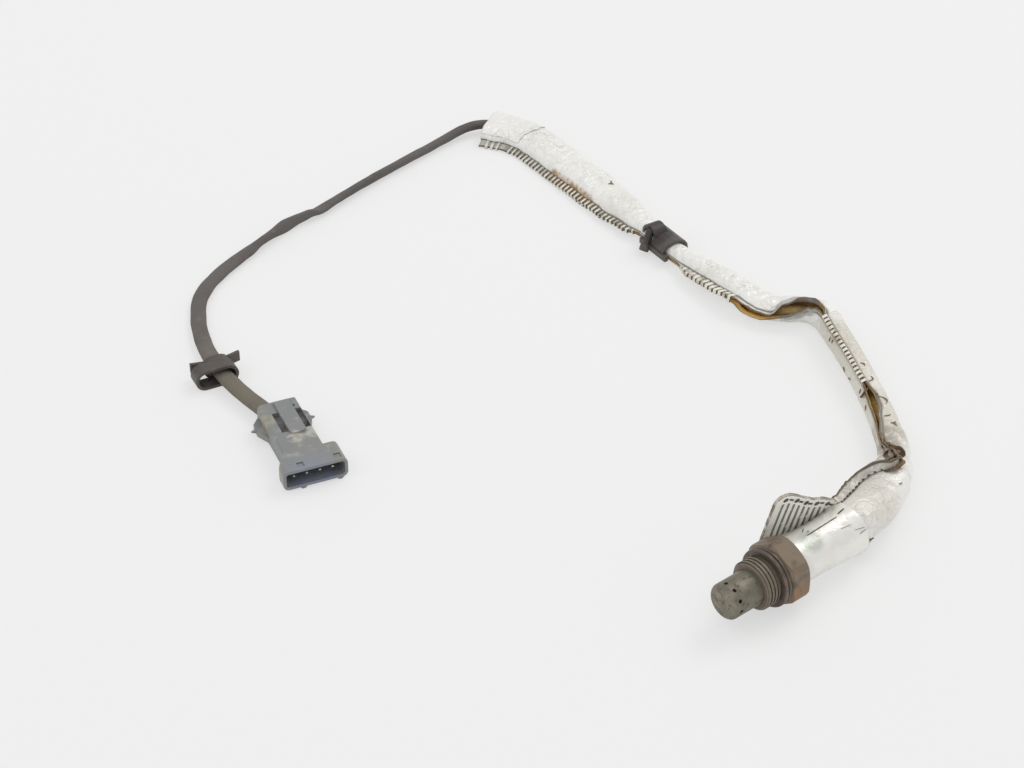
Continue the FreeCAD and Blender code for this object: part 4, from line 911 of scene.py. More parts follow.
def foil_cloth_finish():
    """Silvery foil outside, ochre cloth inside, brown worn edges, painted shade in creases and by
    the flange.
    """
    finish = Finish("foil_cloth", (240, 239, 235), 0.42, 0.22)
    creases = finish.group(CREASES, Scale=110.0)
    fine = finish.group(CREASES, Scale=290.0)
    zones = finish.patches(42.0, 0.40, 0.62)
    ragged = finish.patches(330.0, 0.3, 0.6)
    edge = finish.attribute("edge")
    inside = spread(finish.attribute("lining"), 0.25, 0.6)
    flange = spread(edge, 0.50, 0.60)
    lip = spread(edge, 0.86, 0.97)
    # painted shade along the foot of the flange, and brown soil on the worn lips
    root_shade_and_soil = most(less(spread(edge, 0.30, 0.43), spread(edge, 0.50, 0.56)), lip)

    def close_to(distance, angle, reach, soft, lift=0.0):
        return finish.near(on_skin(distance, angle, lift), reach, soft)

    finish.blotch((222, 219, 208), 30.0, 0.46, 0.72, 0.7)
    # painted shade along the large creases
    finish.paint((creases["Line"], zones), (160, 157, 150), 0.55)
    finish.blotch((190, 186, 174), 210.0, 0.62, 0.76, 0.5)
    # grey patches: dirt near the head, and painted shade on the left side of the sleeve, away from
    # the light
    for distance, angle, reach, strength in GREYED_AND_SHADED:
        finish.paint(close_to(distance, angle, reach, 12.0), (206, 200, 186), strength)
    # painted shade along the fine creases
    finish.paint((fine["Line"], zones), (168, 165, 158), 0.45)
    finish.paint((flange, ragged), (178, 173, 164), 0.75)
    finish.paint((flange, close_to(303.0, 0.0, 42.0, 8.0)), (104, 92, 74), 0.6)
    # painted shade at the flange's foot and dark soil on its lips
    finish.paint(root_shade_and_soil, (84, 74, 64), 0.8)
    finish.paint(inside, (240, 202, 126))
    finish.paint((finish.patches(150.0, 0.46, 0.68), inside), (138, 104, 62), 0.7)
    arch = times(close_to(167.0, 80.0, 8.0, 2.5, 1.0), spread(edge, 0.12, 0.24))
    finish.paint(arch, (158, 154, 148), 0.9)
    finish.paint((arch, ragged), (206, 204, 200), 0.6)
    finish.paint((close_to(51.0, 90.0, 9.0, 4.0, 1.5), inside), (112, 94, 72), 0.9)
    finish.paint((close_to(24.0, 20.0, 20.0, 4.0), inside), (176, 171, 162), 0.9)
    finish.paint(lip, (92, 78, 60), 0.75)
    rubbed = reduce(most, [close_to(*spot, 2.0, 2.0) for spot in RUBBED])
    rubbed = times(rubbed, most(ragged, 0.5))
    finish.paint(rubbed, (164, 124, 62), 0.9)
    for distance, angle, reach in DIRTY:
        finish.paint((close_to(distance, angle, reach, 7.0), ragged), (150, 140, 124), 0.65)
    dull = most(most(inside, root_shade_and_soil), rubbed)
    finish.vary("Metallic", dull, 0.22, 0.0)
    finish.vary("Roughness", dull, 0.42, 0.85)
    finish.bump(creases["Height"], 0.0009, 0.4)
    finish.bump(times(fine["Height"], zones), 0.0005, 0.45)
    finish.bump(finish.group(WEAVE, Across=3600.0, Along=3600.0)["Height"], 0.0001, 0.3)
    return finish.material


FOIL_CLOTH = foil_cloth_finish()
sleeve_piece = new_piece("foil_sleeve", *foil_sleeve(), material=FOIL_CLOTH)
mend(sleeve_piece)
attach(sleeve_piece, "root")
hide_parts("heat_sleeve")


# %% [markdown]
# ## What repeats: stitches, thread turns and printed marks
# Geometry Nodes make everything that repeats. Each tree takes a line or a number, repeats one
# small form along it, makes the copies real, and sets their material. The result is turned
# into a plain mesh and the modifier goes, because an export can't carry it.

# %% Helpers for geometry trees
def geometry_tree(name, inputs):
    """Empty modifier tree with a geometry socket at each end and named inputs between."""
    made = group_tree("GeometryNodeTree", name, {"Geometry": GEOMETRY, **inputs},
                      {"Geometry": GEOMETRY})
    made[0].is_modifier = True
    return made


def finish_tree(tree, last, out, material):
    """End a tree: make the copies real, set their material, and put them out."""
    real = add_node(tree, "GeometryNodeRealizeInstances", {0: last})
    dress = add_node(tree, "GeometryNodeSetMaterial", {
        "Geometry": real.outputs[0], "Material": material})
    tree.links.new(dress.outputs[0], out[0])


def grow(name, base, tree, values):
    """Run a tree on a base mesh and keep the result as a plain mesh object."""
    holder = into_scene(name + "_base", base)
    modifier = holder.modifiers.new("grow", "NODES")
    modifier.node_group = tree
    for socket in tree.interface.items_tree:
        if socket.item_type == "SOCKET" and socket.in_out == "INPUT" and socket.name in values:
            modifier[socket.identifier] = values[socket.name]
    mesh = plain_mesh(holder)
    bpy.data.objects.remove(holder)
    mesh.name = name
    return into_scene(name, mesh)


def repeat_along(name, form, material):
    """Tree that repeats a form along a line of points; each point stores which way the form
    stands and how large it is."""
    tree, given, out = geometry_tree(name, {"Pitch": 0.0025})
    line = add_node(tree, "GeometryNodeMeshToCurve", {"Mesh": given["Geometry"]})
    spaced = add_node(tree, "GeometryNodeResampleCurve", {
        "Curve": line.outputs[0], "Length": given["Pitch"]}, mode="LENGTH")
    stand, size = (add_node(tree, "GeometryNodeInputNamedAttribute", {"Name": label},
                            data_type="FLOAT_VECTOR").outputs["Attribute"]
                   for label in ("stand", "size"))
    upright = add_node(tree, "FunctionNodeAlignRotationToVector", {"Vector": stand}, axis="Z")
    along = add_node(tree, "FunctionNodeAlignRotationToVector", {
        "Rotation": upright.outputs[0],
        "Vector": add_node(tree, "GeometryNodeInputTangent").outputs[0]}, axis="X", pivot_axis="Z")
    one = add_node(tree, "GeometryNodeObjectInfo", {"Object": form})
    copies = add_node(tree, "GeometryNodeInstanceOnPoints", {
        "Points": spaced.outputs[0], "Instance": one.outputs["Geometry"],
        "Rotation": along.outputs[0], "Scale": size})
    finish_tree(tree, copies.outputs[0], out, material)
    return tree


def marked_line(name, rows):
    """Chains of points as an edge mesh; each point has a position, a stand and a size."""
    vertices, edges, stands, sizes = [], [], [], []
    for row in rows:
        start = len(vertices)
        for index, (spot, stand, size) in enumerate(row):
            vertices.append(spot)
            stands += list(stand)
            sizes += list(size)
            if index:
                edges.append((start + index - 1, start + index))
    mesh = bpy.data.meshes.new(name)
    mesh.from_pydata(vertices, edges, [])
    for label, values in (("stand", stands), ("size", sizes)):
        layer = mesh.attributes.new(label, "FLOAT_VECTOR", "POINT")
        layer.data.foreach_set("vector", values)
    return mesh


def line_of(spot_at, start, end, count):
    """Row of points at even steps between two distances."""
    return [spot_at(start + (end - start) * index / count) for index in range(count + 1)]


# %% [markdown]
# ## The overstitching of the sleeve
# A pale thread is wrapped over the flange at an even pitch, so that it reads as a row of light
# teeth on a dark edge. One tooth is modelled as a flat band that goes up one side of the
# flange, over its edge and down the other. On the wide stretch by the sensor the sewing is
# plain running stitches at the foot of the flange instead.

# %% One tooth, the lines that it follows, and the teeth
def band_over(half_width, thickness):
    """Band over an edge, in units: the edge is 1 high and 1 to each side."""
    inner = [(1.0, -0.02), (1.0, 0.92), (0.72, 1.02), (-0.72, 1.02), (-1.0, 0.92), (-1.0, -0.02)]
    outer = [(y * (1 + thickness), z + (thickness * 0.35 if z > 0.5 else 0.0)) for y, z in inner]
    loop = inner + outer[::-1]
    vertices = []
    for x in (-half_width, -half_width * 0.6, half_width * 0.6, half_width):
        pinch = 0.45 if abs(x) == half_width else 1.0
        for (y, z), (iy, iz) in zip(loop, inner + inner[::-1]):
            vertices.append((x, iy + (y - iy) * pinch, iz + (z - iz) * pinch))
    count = len(loop)
    faces = []
    for strip in range(3):
        for index in range(count):
            a, b = strip * count + index, strip * count + (index + 1) % count
            faces.append((a, b, b + count, a + count))
    pairs = count // 2
    for start, flip in ((0, True), (3 * count, False)):
        for index in range(pairs - 1):
            face = (start + index, start + index + 1, start + count - 2 - index,
                    start + count - 1 - index)
            faces.append(face[::-1] if flip else face)
    return vertices, faces


FIBRES = (3200.0, 0.00012, 0.8)            # grain of a sewing thread: scale, depth, strength
THREAD = simple_finish("thread", (232, 229, 219), 0.8,
                       [((160, 144, 112), 210.0, 0.46, 0.66, 0.75)], FIBRES).material
TOOTH_RISE = 0.3
TOOTH_PITCH = 2.5
LINE_STEP = 1.5


def tooth_at(distance):
    """Foot of the flange at a distance, with its direction and its size."""
    middle, left, values = sleeve_frame(distance)
    width, height, seam, gap, flange, _ = values
    c, s = unit(seam)
    base = in_frame(middle, left, *oval(seam, width / 2 + TOOTH_RISE, height / 2 + TOOTH_RISE))
    uneven = 0.35 * noise.noise(Vector((distance * 0.9, 7.0, 3.0)))
    size = (((1.0 if distance < 240.0 else 0.72) + uneven) * MM,
            (gap / 2 + SLEEVE_WALL + 0.12) * MM, (flange - TOOTH_RISE + 0.1) * MM)
    return base + crumple(base, middle, distance) * 0.6, left * c + Vector((0, 0, s)), size


tooth = new_piece("tooth_form", *band_over(0.78, 0.2), material=THREAD)
sewn = [(102.0, 146.0), (190.5, 223.0), (256.5, 347.0), (357.0, 363.0)]
rows = [line_of(tooth_at, start, end, int((end - start) / LINE_STEP)) for start, end in sewn]
teeth = grow("overstitching", marked_line("teeth_line", rows),
             repeat_along("overstitching", tooth, THREAD), {"Pitch": TOOTH_PITCH * MM})


# %% Running stitches on the wide flange by the sensor
STITCH_LENGTH, STITCH_RADIUS, STITCH_PITCH = 2.0, 0.3, 2.6
STITCHED = (14.0, 48.0)


def capsule(length, radius, sides=6):
    """Short rounded stitch along X, sunk to its middle in what it lies on."""
    vertices, faces = [(-length / 2, 0.0, 0.0)], []
    for x, r in ((-length / 2 * 0.8, 0.7), (-length / 2 * 0.4, 1.0), (length / 2 * 0.4, 1.0),
                 (length / 2 * 0.8, 0.7)):
        for side in range(sides):
            angle = 2 * math.pi * side / sides
            vertices.append((x, math.cos(angle) * r * radius, math.sin(angle) * r * radius))
    vertices.append((length / 2, 0.0, 0.0))
    for side in range(sides):
        after = (side + 1) % sides
        faces.append((0, 1 + after, 1 + side))
        for ring in range(3):
            a, b = 1 + ring * sides + side, 1 + ring * sides + after
            faces.append((a, b, b + sides, a + sides))
        faces.append((1 + 3 * sides + side, 1 + 3 * sides + after, 1 + 4 * sides))
    return vertices, faces


def stitch_at(distance):
    """Point on the upper face of the flange, a tenth of the way out from its foot."""
    middle, left, values = sleeve_frame(distance)
    width, height, seam, gap, flange, _ = values
    c, s = unit(seam)
    x, y = oval(seam, width / 2, height / 2)
    x += c * flange * 0.1 - s * (gap / 2 + SLEEVE_WALL)
    y += s * flange * 0.1 + c * (gap / 2 + SLEEVE_WALL)
    return in_frame(middle, left, x, y), left * -s + Vector((0, 0, c)), (MM, MM, MM)


DARK_THREAD = simple_finish("dark_thread", (70, 63, 56), 0.85,
                            [((120, 110, 96), 260.0, 0.46, 0.68, 0.7)], FIBRES).material
stitch = new_piece("stitch_form", *capsule(STITCH_LENGTH, STITCH_RADIUS), material=DARK_THREAD)
rows = [line_of(stitch_at, *STITCHED, int((STITCHED[1] - STITCHED[0]) / LINE_STEP))]
stitches = grow("running_stitches", marked_line("stitch_line", rows),
                repeat_along("running_stitches", stitch, DARK_THREAD),
                {"Pitch": STITCH_PITCH * MM})
for form in (tooth, stitch):
    bpy.data.objects.remove(form)
for piece in (teeth, stitches):
    mend(piece)
    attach(piece, "root")


# %% [markdown]
# ## The cuff and the small tears
# The far end of the strip is folded back over itself, so that a cuff about 20 mm wide lies on
# the upper side. And the old foil has small tears whose lips curl up and show brown. Both are
# laid on the sleeve's own skin, so they follow its crumples.

# %% Cuff folded back over the sleeve's end
CUFF_FROM, CUFF_TO = 344.0, 367.4
CUFF_ANGLES = (22.0, 206.0)


def cuff():
    """Thin closed patch that hugs the skin, ragged along its free edge."""
    rows, columns = 26, 54
    vertices, uvs = [], []
    for lift, opening in ((0.42, 1.0), (0.1, 0.8)):
        for i in range(rows + 1):
            for j in range(columns + 1):
                across = j / columns
                angle = CUFF_ANGLES[0] + (CUFF_ANGLES[1] - CUFF_ANGLES[0]) * across
                ragged = 1.4 * noise.noise(Vector((angle * 0.05, 3.0, 0.0)))
                start = CUFF_FROM + ragged + 3.0 * across
                distance = start + (CUFF_TO - start) * i / rows
                open_lip = 0.12 * (1.0 - i / rows) ** 3 + 0.1 * (1.0 - across) ** 6
                vertices.append(on_skin(distance, angle, lift + open_lip * opening))
                uvs.append((across * 0.03, distance * MM))
    plain = [0.0] * len(vertices)
    return vertices, shell_faces(rows, columns), uvs, {"lining": plain, "edge": plain}


cuff_piece = new_piece("sleeve_cuff", *cuff(), material=FOIL_CLOTH)
mend(cuff_piece)
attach(cuff_piece, "root")


# %% Curled lips of the tears
# distance in mm, angle round the section, length, width, turn from the sleeve's direction, bow
TEARS = [
    (136.4, 22.0, 2.2, 0.35, 70.0, 0.1), (134.2, 28.0, 2.0, 0.3, 75.0, 0.1),
    (119.0, -4.0, 2.4, 0.4, 20.0, 0.2), (112.0, -2.0, 2.0, 0.35, -15.0, 0.2),
    (100.0, 26.0, 2.2, 0.8, 65.0, 0.1), (104.0, 95.0, 3.2, 0.4, 25.0, 0.3),
    (114.0, 95.0, 2.6, 0.3, -20.0, 0.2), (94.0, 88.0, 1.4, 0.55, 40.0, 0.0),
    (90.0, 105.0, 5.4, 0.45, -12.0, 0.3), (84.0, 68.0, 1.6, 0.5, 30.0, 0.1),
    (80.0, 95.0, 2.6, 0.3, 60.0, 0.2), (75.6, 106.0, 3.0, 0.4, 50.0, 0.1),
    (74.2, 103.0, 2.6, 0.35, -40.0, 0.1), (38.0, 130.0, 2.0, 0.35, 30.0, 0.1),
    (290.0, 112.0, 2.8, 0.4, 40.0, 0.2), (288.6, 108.0, 2.2, 0.35, -50.0, 0.1),
    (90.5, 14.0, 2.4, 0.4, 55.0, 0.1),
]

# %% Torn shreds by the kink of the seam, where the lining has come out
# distance in mm, angle, length, width, turn, bow, how far its free side stands up in mm
SHREDS = [
    (44.5, 92.0, 7.0, 3.6, 10.0, 0.1, 1.6), (47.5, 97.0, 6.5, 3.2, -20.0, 0.15, 2.0),
    (50.0, 88.0, 7.0, 3.6, 20.0, 0.1, 2.2), (53.0, 80.0, 6.5, 3.4, -10.0, 0.1, 2.1),
    (56.0, 72.0, 6.0, 3.0, 15.0, 0.1, 1.9), (59.5, 62.0, 5.8, 2.6, -5.0, 0.1, 1.6),
    (63.0, 50.0, 5.6, 2.2, 8.0, 0.1, 1.3), (67.5, 44.0, 5.0, 1.7, 0.0, 0.1, 1.0),
    (48.5, 78.0, 5.0, 2.8, 65.0, 0.2, 1.4), (52.0, 70.0, 4.6, 2.6, -30.0, 0.2, 1.0),
    (57.0, 82.0, 9.5, 1.7, -48.0, 0.1, 1.8), (8.2, 234.0, 8.0, 3.4, 0.0, 0.1, 1.3),
    (10.0, 218.0, 7.0, 3.0, 10.0, 0.1, 1.1), (97.5, 47.0, 5.5, 2.0, 62.0, 0.2, 1.0),
]


def scrap(distance, angle, length, width, turn, bow, stand=None):
    """Bowed strip of cloth on the skin: the curled lip of a tear, or, given how far its free
    side stands up, a crumpled shred."""
    values = sleeve_frame(distance)[2]
    reach = (values[0] + values[1]) / 4
    along, across = unit(turn)
    is_lip = stand is None
    steps, sides = (8, 2) if is_lip else (14, 5)
    vertices = []
    for top, lift in ((True, 0.22 if is_lip else 0.4), (False, -0.05 if is_lip else 0.0)):
        for i in range(steps + 1):
            t = i / steps
            swell = math.sin(math.pi * t)
            half = width * swell / 2 + 0.04 if is_lip else width * (0.25 + 0.75 * swell) / 2
            arch = bow * length * (swell - 0.5)
            for j in range(sides + 1):
                side = -1.0 + 2.0 * j / sides
                s = (t - 0.5) * length * along - (side * half + arch) * across
                d = (t - 0.5) * length * across + (side * half + arch) * along
                if is_lip:
                    rise = 0.35 * swell if top and side > 0 else 0.0
                else:
                    rough = noise.noise(Vector((distance + t * length * 0.5, side * 0.9, 2.0)))
                    rise = stand * (j / sides) ** 2 * math.sin(math.pi * min(1.0, t + 0.08)) ** 0.5
                    rise = max(0.0, rise) * (1.0 + 0.5 * rough) + 0.25 * max(0.0, rough)
                vertices.append(on_skin(distance + s, angle + math.degrees(d / reach), lift + rise))
    return vertices, shell_faces(steps, sides)


torn = simple_finish("torn_cloth", (116, 96, 72), 0.9,
                     [((156, 132, 96), 380.0, 0.46, 0.64, 0.8),
                      ((74, 56, 42), 300.0, 0.48, 0.64, 0.8)], (2600.0, 0.00015, 0.8))
torn.paint(torn.attribute("slit"), (132, 120, 104), 0.85)
lips = joined(scrap(*row) for row in TEARS)
shreds = joined(scrap(*row) for row in SHREDS)
tears = new_piece("sleeve_tears", *joined([lips, shreds]), material=torn.material,
                  values={"slit": [1.0] * len(lips[0]) + [0.0] * len(shreds[0])})
mend(tears)
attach(tears, "root")


# %% [markdown]
# ## The foil label round the shank
# Behind the hexagon, a strip of label foil is wrapped round the shank. Its two ends meet on the
# far side, are pressed together, and stand up as a flag. The strip is made as one sheet, section
# by section: down one ply of the flag, over the shank, and up the other ply. The print on the
# flag is left generic: an even field of stripes, and a row of plain dots and dashes.

# %% The strip, section by section
WRAP_FRONT = -11.9
WRAP_LENGTH = 31.0
FLAG_LEAN = math.radians(17.0)
FLAG_TURN = math.radians(11.7)
FLAG_FOOT = -14.4
FOIL_HALF = 0.15
PLY_APART, CURL = 0.22, 0.35               # flag's plies off its middle, curl of its top, in mm
FLAG_STEPS, ROUND_STEPS, FOOT_STEPS = 16, 56, 6
# distance back in mm, height of the flag in mm
FLAG_ROWS = [
    (0.0, 22.4), (0.3, 24.2), (0.9, 25.4), (2.0, 26.6), (3.6, 27.0), (6.0, 26.4), (9.0, 24.4),
    (13.0, 21.2), (17.5, 17.9), (22.0, 16.2), (26.0, 13.4), (31.1, 9.2),
]


def wrap_radius(back):
    """Radius of the strip round the shank, which opens a little to the rear."""
    return 8.35 + 1.1 * (back / WRAP_LENGTH) ** 2


def flag_point(back, rise, aside=0.0):
    """Point of the flag in mm: how far back, how far up its slope, how far off its middle."""
    lean, turn = math.sin(FLAG_LEAN), math.sin(FLAG_TURN)
    y = aside * math.cos(FLAG_LEAN) + rise * lean
    x = -back * math.cos(FLAG_TURN) + y * turn
    return Vector((WRAP_FRONT + x, FLAG_FOOT + back * turn + y * math.cos(FLAG_TURN),
                   rise * math.cos(FLAG_LEAN) - aside * lean))


def flag_foot(back):
    """How far up its slope the flag leaves the shank, evened out along the strip."""
    total, reach = 0.0, 3
    for shift in range(-reach, reach + 1):
        place = min(WRAP_LENGTH, max(0.0, back + shift))
        aside = abs(flag_point(place, 0.0).y)
        nearest = aside * math.sin(FLAG_LEAN) * min(1.0, max(0.0, (place - 12.0) / 10.0))
        gap = aside * math.cos(FLAG_LEAN)
        total += nearest + math.sqrt(max(0.0, (wrap_radius(place) + 0.7) ** 2 - gap * gap))
    return total / (2 * reach + 1)


def flag_height(back):
    """How far up its slope the flag reaches."""
    return read_rows(FLAG_ROWS, back, False)[0]


def on_wrap(x, radius, angle):
    """Point at a radius and an angle in radians round the shank."""
    return Vector((x, radius * math.cos(angle), radius * math.sin(angle)))


def wrap_chain(back):
    """Middle line of the strip: points, how far each is up the flag, and its side (1 near)."""
    foot, height, radius = flag_foot(back), flag_height(back), wrap_radius(back)
    height = max(height, foot + 0.6)
    start = flag_point(back, foot)
    apart = math.hypot(start.y, start.z)
    first = math.atan2(start.z, start.y) % (2 * math.pi)
    spread_angle = math.acos(min(1.0, radius / apart))
    chain = []
    for step in range(FLAG_STEPS + 1):
        share = step / FLAG_STEPS
        rise = height + (foot - height) * share
        aside = PLY_APART * min(1.0, (rise - foot) / 2.0) + CURL * (1.0 - share) ** 4
        chain.append((flag_point(back, rise, aside), rise, 1.0))
    upper, lower = first - spread_angle, first + spread_angle - 2 * math.pi
    top, below = on_wrap(start.x, radius, upper), on_wrap(start.x, radius, lower)
    for step in range(1, FOOT_STEPS):
        chain.append((start.lerp(top, step / FOOT_STEPS), 0.0, 1.0))
    for step in range(ROUND_STEPS + 1):
        angle = upper + (lower - upper) * step / ROUND_STEPS
        chain.append((on_wrap(start.x, radius, angle), 0.0, 0.5))
    for step in range(1, FOOT_STEPS):
        chain.append((below.lerp(start, step / FOOT_STEPS), 0.0, 0.0))
    for spot, rise, _ in reversed(chain[:FLAG_STEPS + 1]):
        share = (height - rise) / max(0.1, height - foot)
        aside = -PLY_APART * min(1.0, (rise - foot) / 2.0)
        chain.append((flag_point(back, rise, aside), rise, 0.0))
    return chain


def wrap_surface(back):
    """Both faces of the strip at one distance back, in metres, with what the material needs."""
    chain = wrap_chain(back)
    height = flag_height(back)
    outer, inner, info = [], [], []
    along = 0.0
    for index, (spot, rise, side) in enumerate(chain):
        before = chain[max(0, index - 1)][0]
        after = chain[min(len(chain) - 1, index + 1)][0]
        if index:
            along += (spot - before).length
        way = after - before
        normal = Vector((0.0, -way.z, way.y)).normalized()
        mouth = max(0.0, (back - 22.0) / 9.0)
        depth = 0.10 + 0.45 * mouth * mouth if side == 0.5 else 0.08
        wave = depth * (noise.noise(Vector((spot.x * 0.16, spot.y * 0.22, spot.z * 0.22)))
                        + 0.5 * noise.noise(spot * 0.55))
        drift = Vector((0.5 * mouth * noise.noise(Vector((spot.y * 0.3, spot.z * 0.3, 4.0))), 0, 0))
        outer.append((spot + normal * (wave + FOIL_HALF) + drift) * MM)
        inner.append((spot + normal * (wave - FOIL_HALF) + drift) * MM)
        info.append((along * MM, rise, max(0.0, height - rise) if rise > 0 else 9.0))
    return outer, inner, info


def foil_wrap():
    """Closed shell of the strip: its outer face, then its inner one."""
    stops = [0.0, 0.15, 0.4, 0.8, 1.4, 2.1, 3.0] + [3.8 + 0.8 * i for i in range(35)]
    stops = [stop for stop in stops if stop < WRAP_LENGTH - 0.3] + [WRAP_LENGTH]
    outsides, insides, uvs, rises, rims = [], [], [], [], []
    for back in stops:
        outer, inner, info = wrap_surface(back)
        outsides += outer
        insides += inner
        uvs += [(along, back * MM) for along, rise, rim in info]
        rises += [rise for along, rise, rim in info]
        rims += [rim for along, rise, rim in info]
    faces = shell_faces(len(stops) - 1, len(outer) - 1)
    return outsides + insides, faces, uvs * 2, {"rise": rises * 2, "rim": rims * 2}


STRIPE_PITCH = 2.6                         # mm


def foil_finish():
    """Silvery label foil with dark stripes on the flag, whose shaded face is painted light."""
    finish = Finish("foil", (238, 237, 232), 0.36, 0.25)
    rim = finish.attribute("rim")
    on_flag = spread(finish.attribute("rise"), 0.3, 1.2)
    place = add_node(finish.tree, "ShaderNodeSeparateXYZ", {
        0: add_node(finish.tree, "ShaderNodeUVMap", uv_map="cloth").outputs["UV"]}).outputs["Y"]
    wave = math_of("ABSOLUTE", less(math_of("FRACT", times(place, 1000.0 / STRIPE_PITCH)), 0.5))
    field = times(times(spread(rim, 4.9, 5.2), on_flag), spread(place, 0.0022, 0.0024))
    stripes = times(less(1.0, spread(wave, 0.18, 0.24)), field)
    edge = less(1.0, spread(math_of("MINIMUM", rim, times(place, 1000.0)), 0.1, 0.8))
    printed = most(stripes, edge)
    finish.blotch((222, 219, 208), 70.0, 0.46, 0.68, 0.5)
    finish.paint(finish.near((-19.7 * MM, 2.3 * MM, 8.0 * MM), 2.6, 3.4), (176, 182, 168), 0.7)
    # painted light: the flag's face lies in shade, and is painted near white so that it looks
    # bright
    finish.paint(on_flag, (250, 248, 240), 0.95)
    finish.paint((stripes, finish.patches(420.0, 0.30, 0.42)), (70, 65, 60), 0.85)
    finish.paint((edge, finish.patches(300.0, 0.3, 0.55)), (128, 112, 92), 0.85)
    finish.vary("Metallic", most(printed, on_flag), 0.25, 0.0)
    finish.vary("Roughness", printed, 0.36, 0.6)
    finish.bump(finish.group(CREASES, Scale=90.0)["Height"], 0.0008, 0.25)
    finish.grain(1100.0, 0.00012, 0.4)
    return finish.material


wrap_piece = new_piece("label_wrap", *foil_wrap(), material=foil_finish())
mend(wrap_piece)
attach(wrap_piece, "root")
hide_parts("foil_wrap")


# %% Dots and dashes along the top of the flag, and strips of painted crease shade on the shank
INK_THICKNESS = 0.06
MARK_PITCH = 5.2
MARK_STEPS = 24                            # steps of the line that the marks follow
MARK_DROP = 2.7
DOT_RADIUS, DOT_SIDES = 1.05, 18


def prism(outline):
    """Flat mark of the ink's thickness on an outline of points."""
    sides = len(outline)
    vertices = [(x, y, z) for z in (0.0, INK_THICKNESS) for x, y in outline]
    faces = [tuple(reversed(range(sides))), tuple(range(sides, 2 * sides))]
    faces += [(side, (side + 1) % sides, sides + (side + 1) % sides, sides + side)
              for side in range(sides)]
    return vertices, faces


def mark_at(back):
    """Point on the near face of the flag, a distance below its top edge."""
    normal = (flag_point(5.0, 5.0, 1.0) - flag_point(5.0, 5.0)).normalized()
    share = MARK_DROP / (flag_height(back) - flag_foot(back))
    aside = PLY_APART + CURL * (1.0 - share) ** 4 + FOIL_HALF + 0.10
    return flag_point(back, flag_height(back) - MARK_DROP, aside) * MM, normal, (MM, MM, MM)


# one dark material for the printed dots and dashes and for the painted shade of the creases on the
# shank
PRINT_AND_SHADE_INK = simple_finish("print", (74, 69, 65), 0.6, [((112, 106, 98), 520.0, 0.5, 0.66, 0.7)],
                    (2400.0, 0.00005, 0.5)).material
DOT = [tuple(DOT_RADIUS * part for part in unit(360.0 * side / DOT_SIDES))
       for side in range(DOT_SIDES)]
DASH = [(-1.15, -0.4), (1.15, -0.4), (1.15, 0.4), (-1.15, 0.4)]
marks = []
for name, outline, start, end in (("flag_dots", DOT, 4.2, 25.0), ("flag_dashes", DASH, 6.8, 27.0)):
    mark = new_piece(name + "_form", *prism(outline), material=PRINT_AND_SHADE_INK, smooth=False)
    line = marked_line(name + "_line", [line_of(mark_at, start, end, MARK_STEPS)])
    marks.append(grow(name, line, repeat_along(name, mark, PRINT_AND_SHADE_INK), {"Pitch": MARK_PITCH * MM}))
    bpy.data.objects.remove(mark)


# dark strips of painted shade in the creases of the strip on the shank, and where it meets the
# flag: distance back and angle of its start, then of its end, and width in mm
CREASE_SHADE_STROKES = [
    (8.1, 89.0, 23.0, 89.7, 0.42), (24.3, 94.9, 28.2, 98.0, 0.5), (8.4, 106.0, 10.6, 116.0, 0.4),
    (9.6, 97.0, 10.4, 99.5, 0.35), (20.6, 60.0, 25.0, 57.0, 0.12), (25.2, 43.0, 29.6, 38.0, 0.14),
    (26.6, 30.0, 30.0, 33.0, 0.12),
]


def stroke(start, start_angle, end, end_angle, width):
    """Thin dark strip of painted crease shade on the shank part of the strip."""
    vertices, steps = [], 12
    for lift in (0.12, 0.0):
        for index in range(steps + 1):
            share = index / steps
            half = width / 2 * (0.35 + 0.65 * math.sin(math.pi * share) ** 0.5)
            back = start + (end - start) * share
            for side in (-1, 1):
                angle = start_angle + (end_angle - start_angle) * share
                angle += side * math.degrees(half / 8.6)
                vertices.append(on_wrap(WRAP_FRONT - back * math.cos(FLAG_TURN),
                                        wrap_radius(back) + FOIL_HALF + lift,
                                        math.radians(angle)) * MM)
    return vertices, shell_faces(steps, 1)


# painted shade: thin dark strips laid in the creases of the wrap
crease_shade_strips = new_piece("wrap_creases", *joined(stroke(*row) for row in CREASE_SHADE_STROKES), material=PRINT_AND_SHADE_INK)
for piece in marks + [crease_shade_strips]:
    mend(piece)
    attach(piece, "root")


# %% [markdown]
# ## The thread
# The engineering body has a plain cylinder where the thread is. A copy of that body gets a real
# one: a helix made by Geometry Nodes sweeps a three-sided cutter round the shank, and a boolean
# cuts it out of the copy. The thread is M18 with a pitch of 1.5 mm.

# %% Helical cutter and the cut
THREAD_PITCH = 1.5
THREAD_FROM = 0.9
THREAD_TURNS = 4.6
THREAD_ROOT = 8.2
CUTTER = 0.66


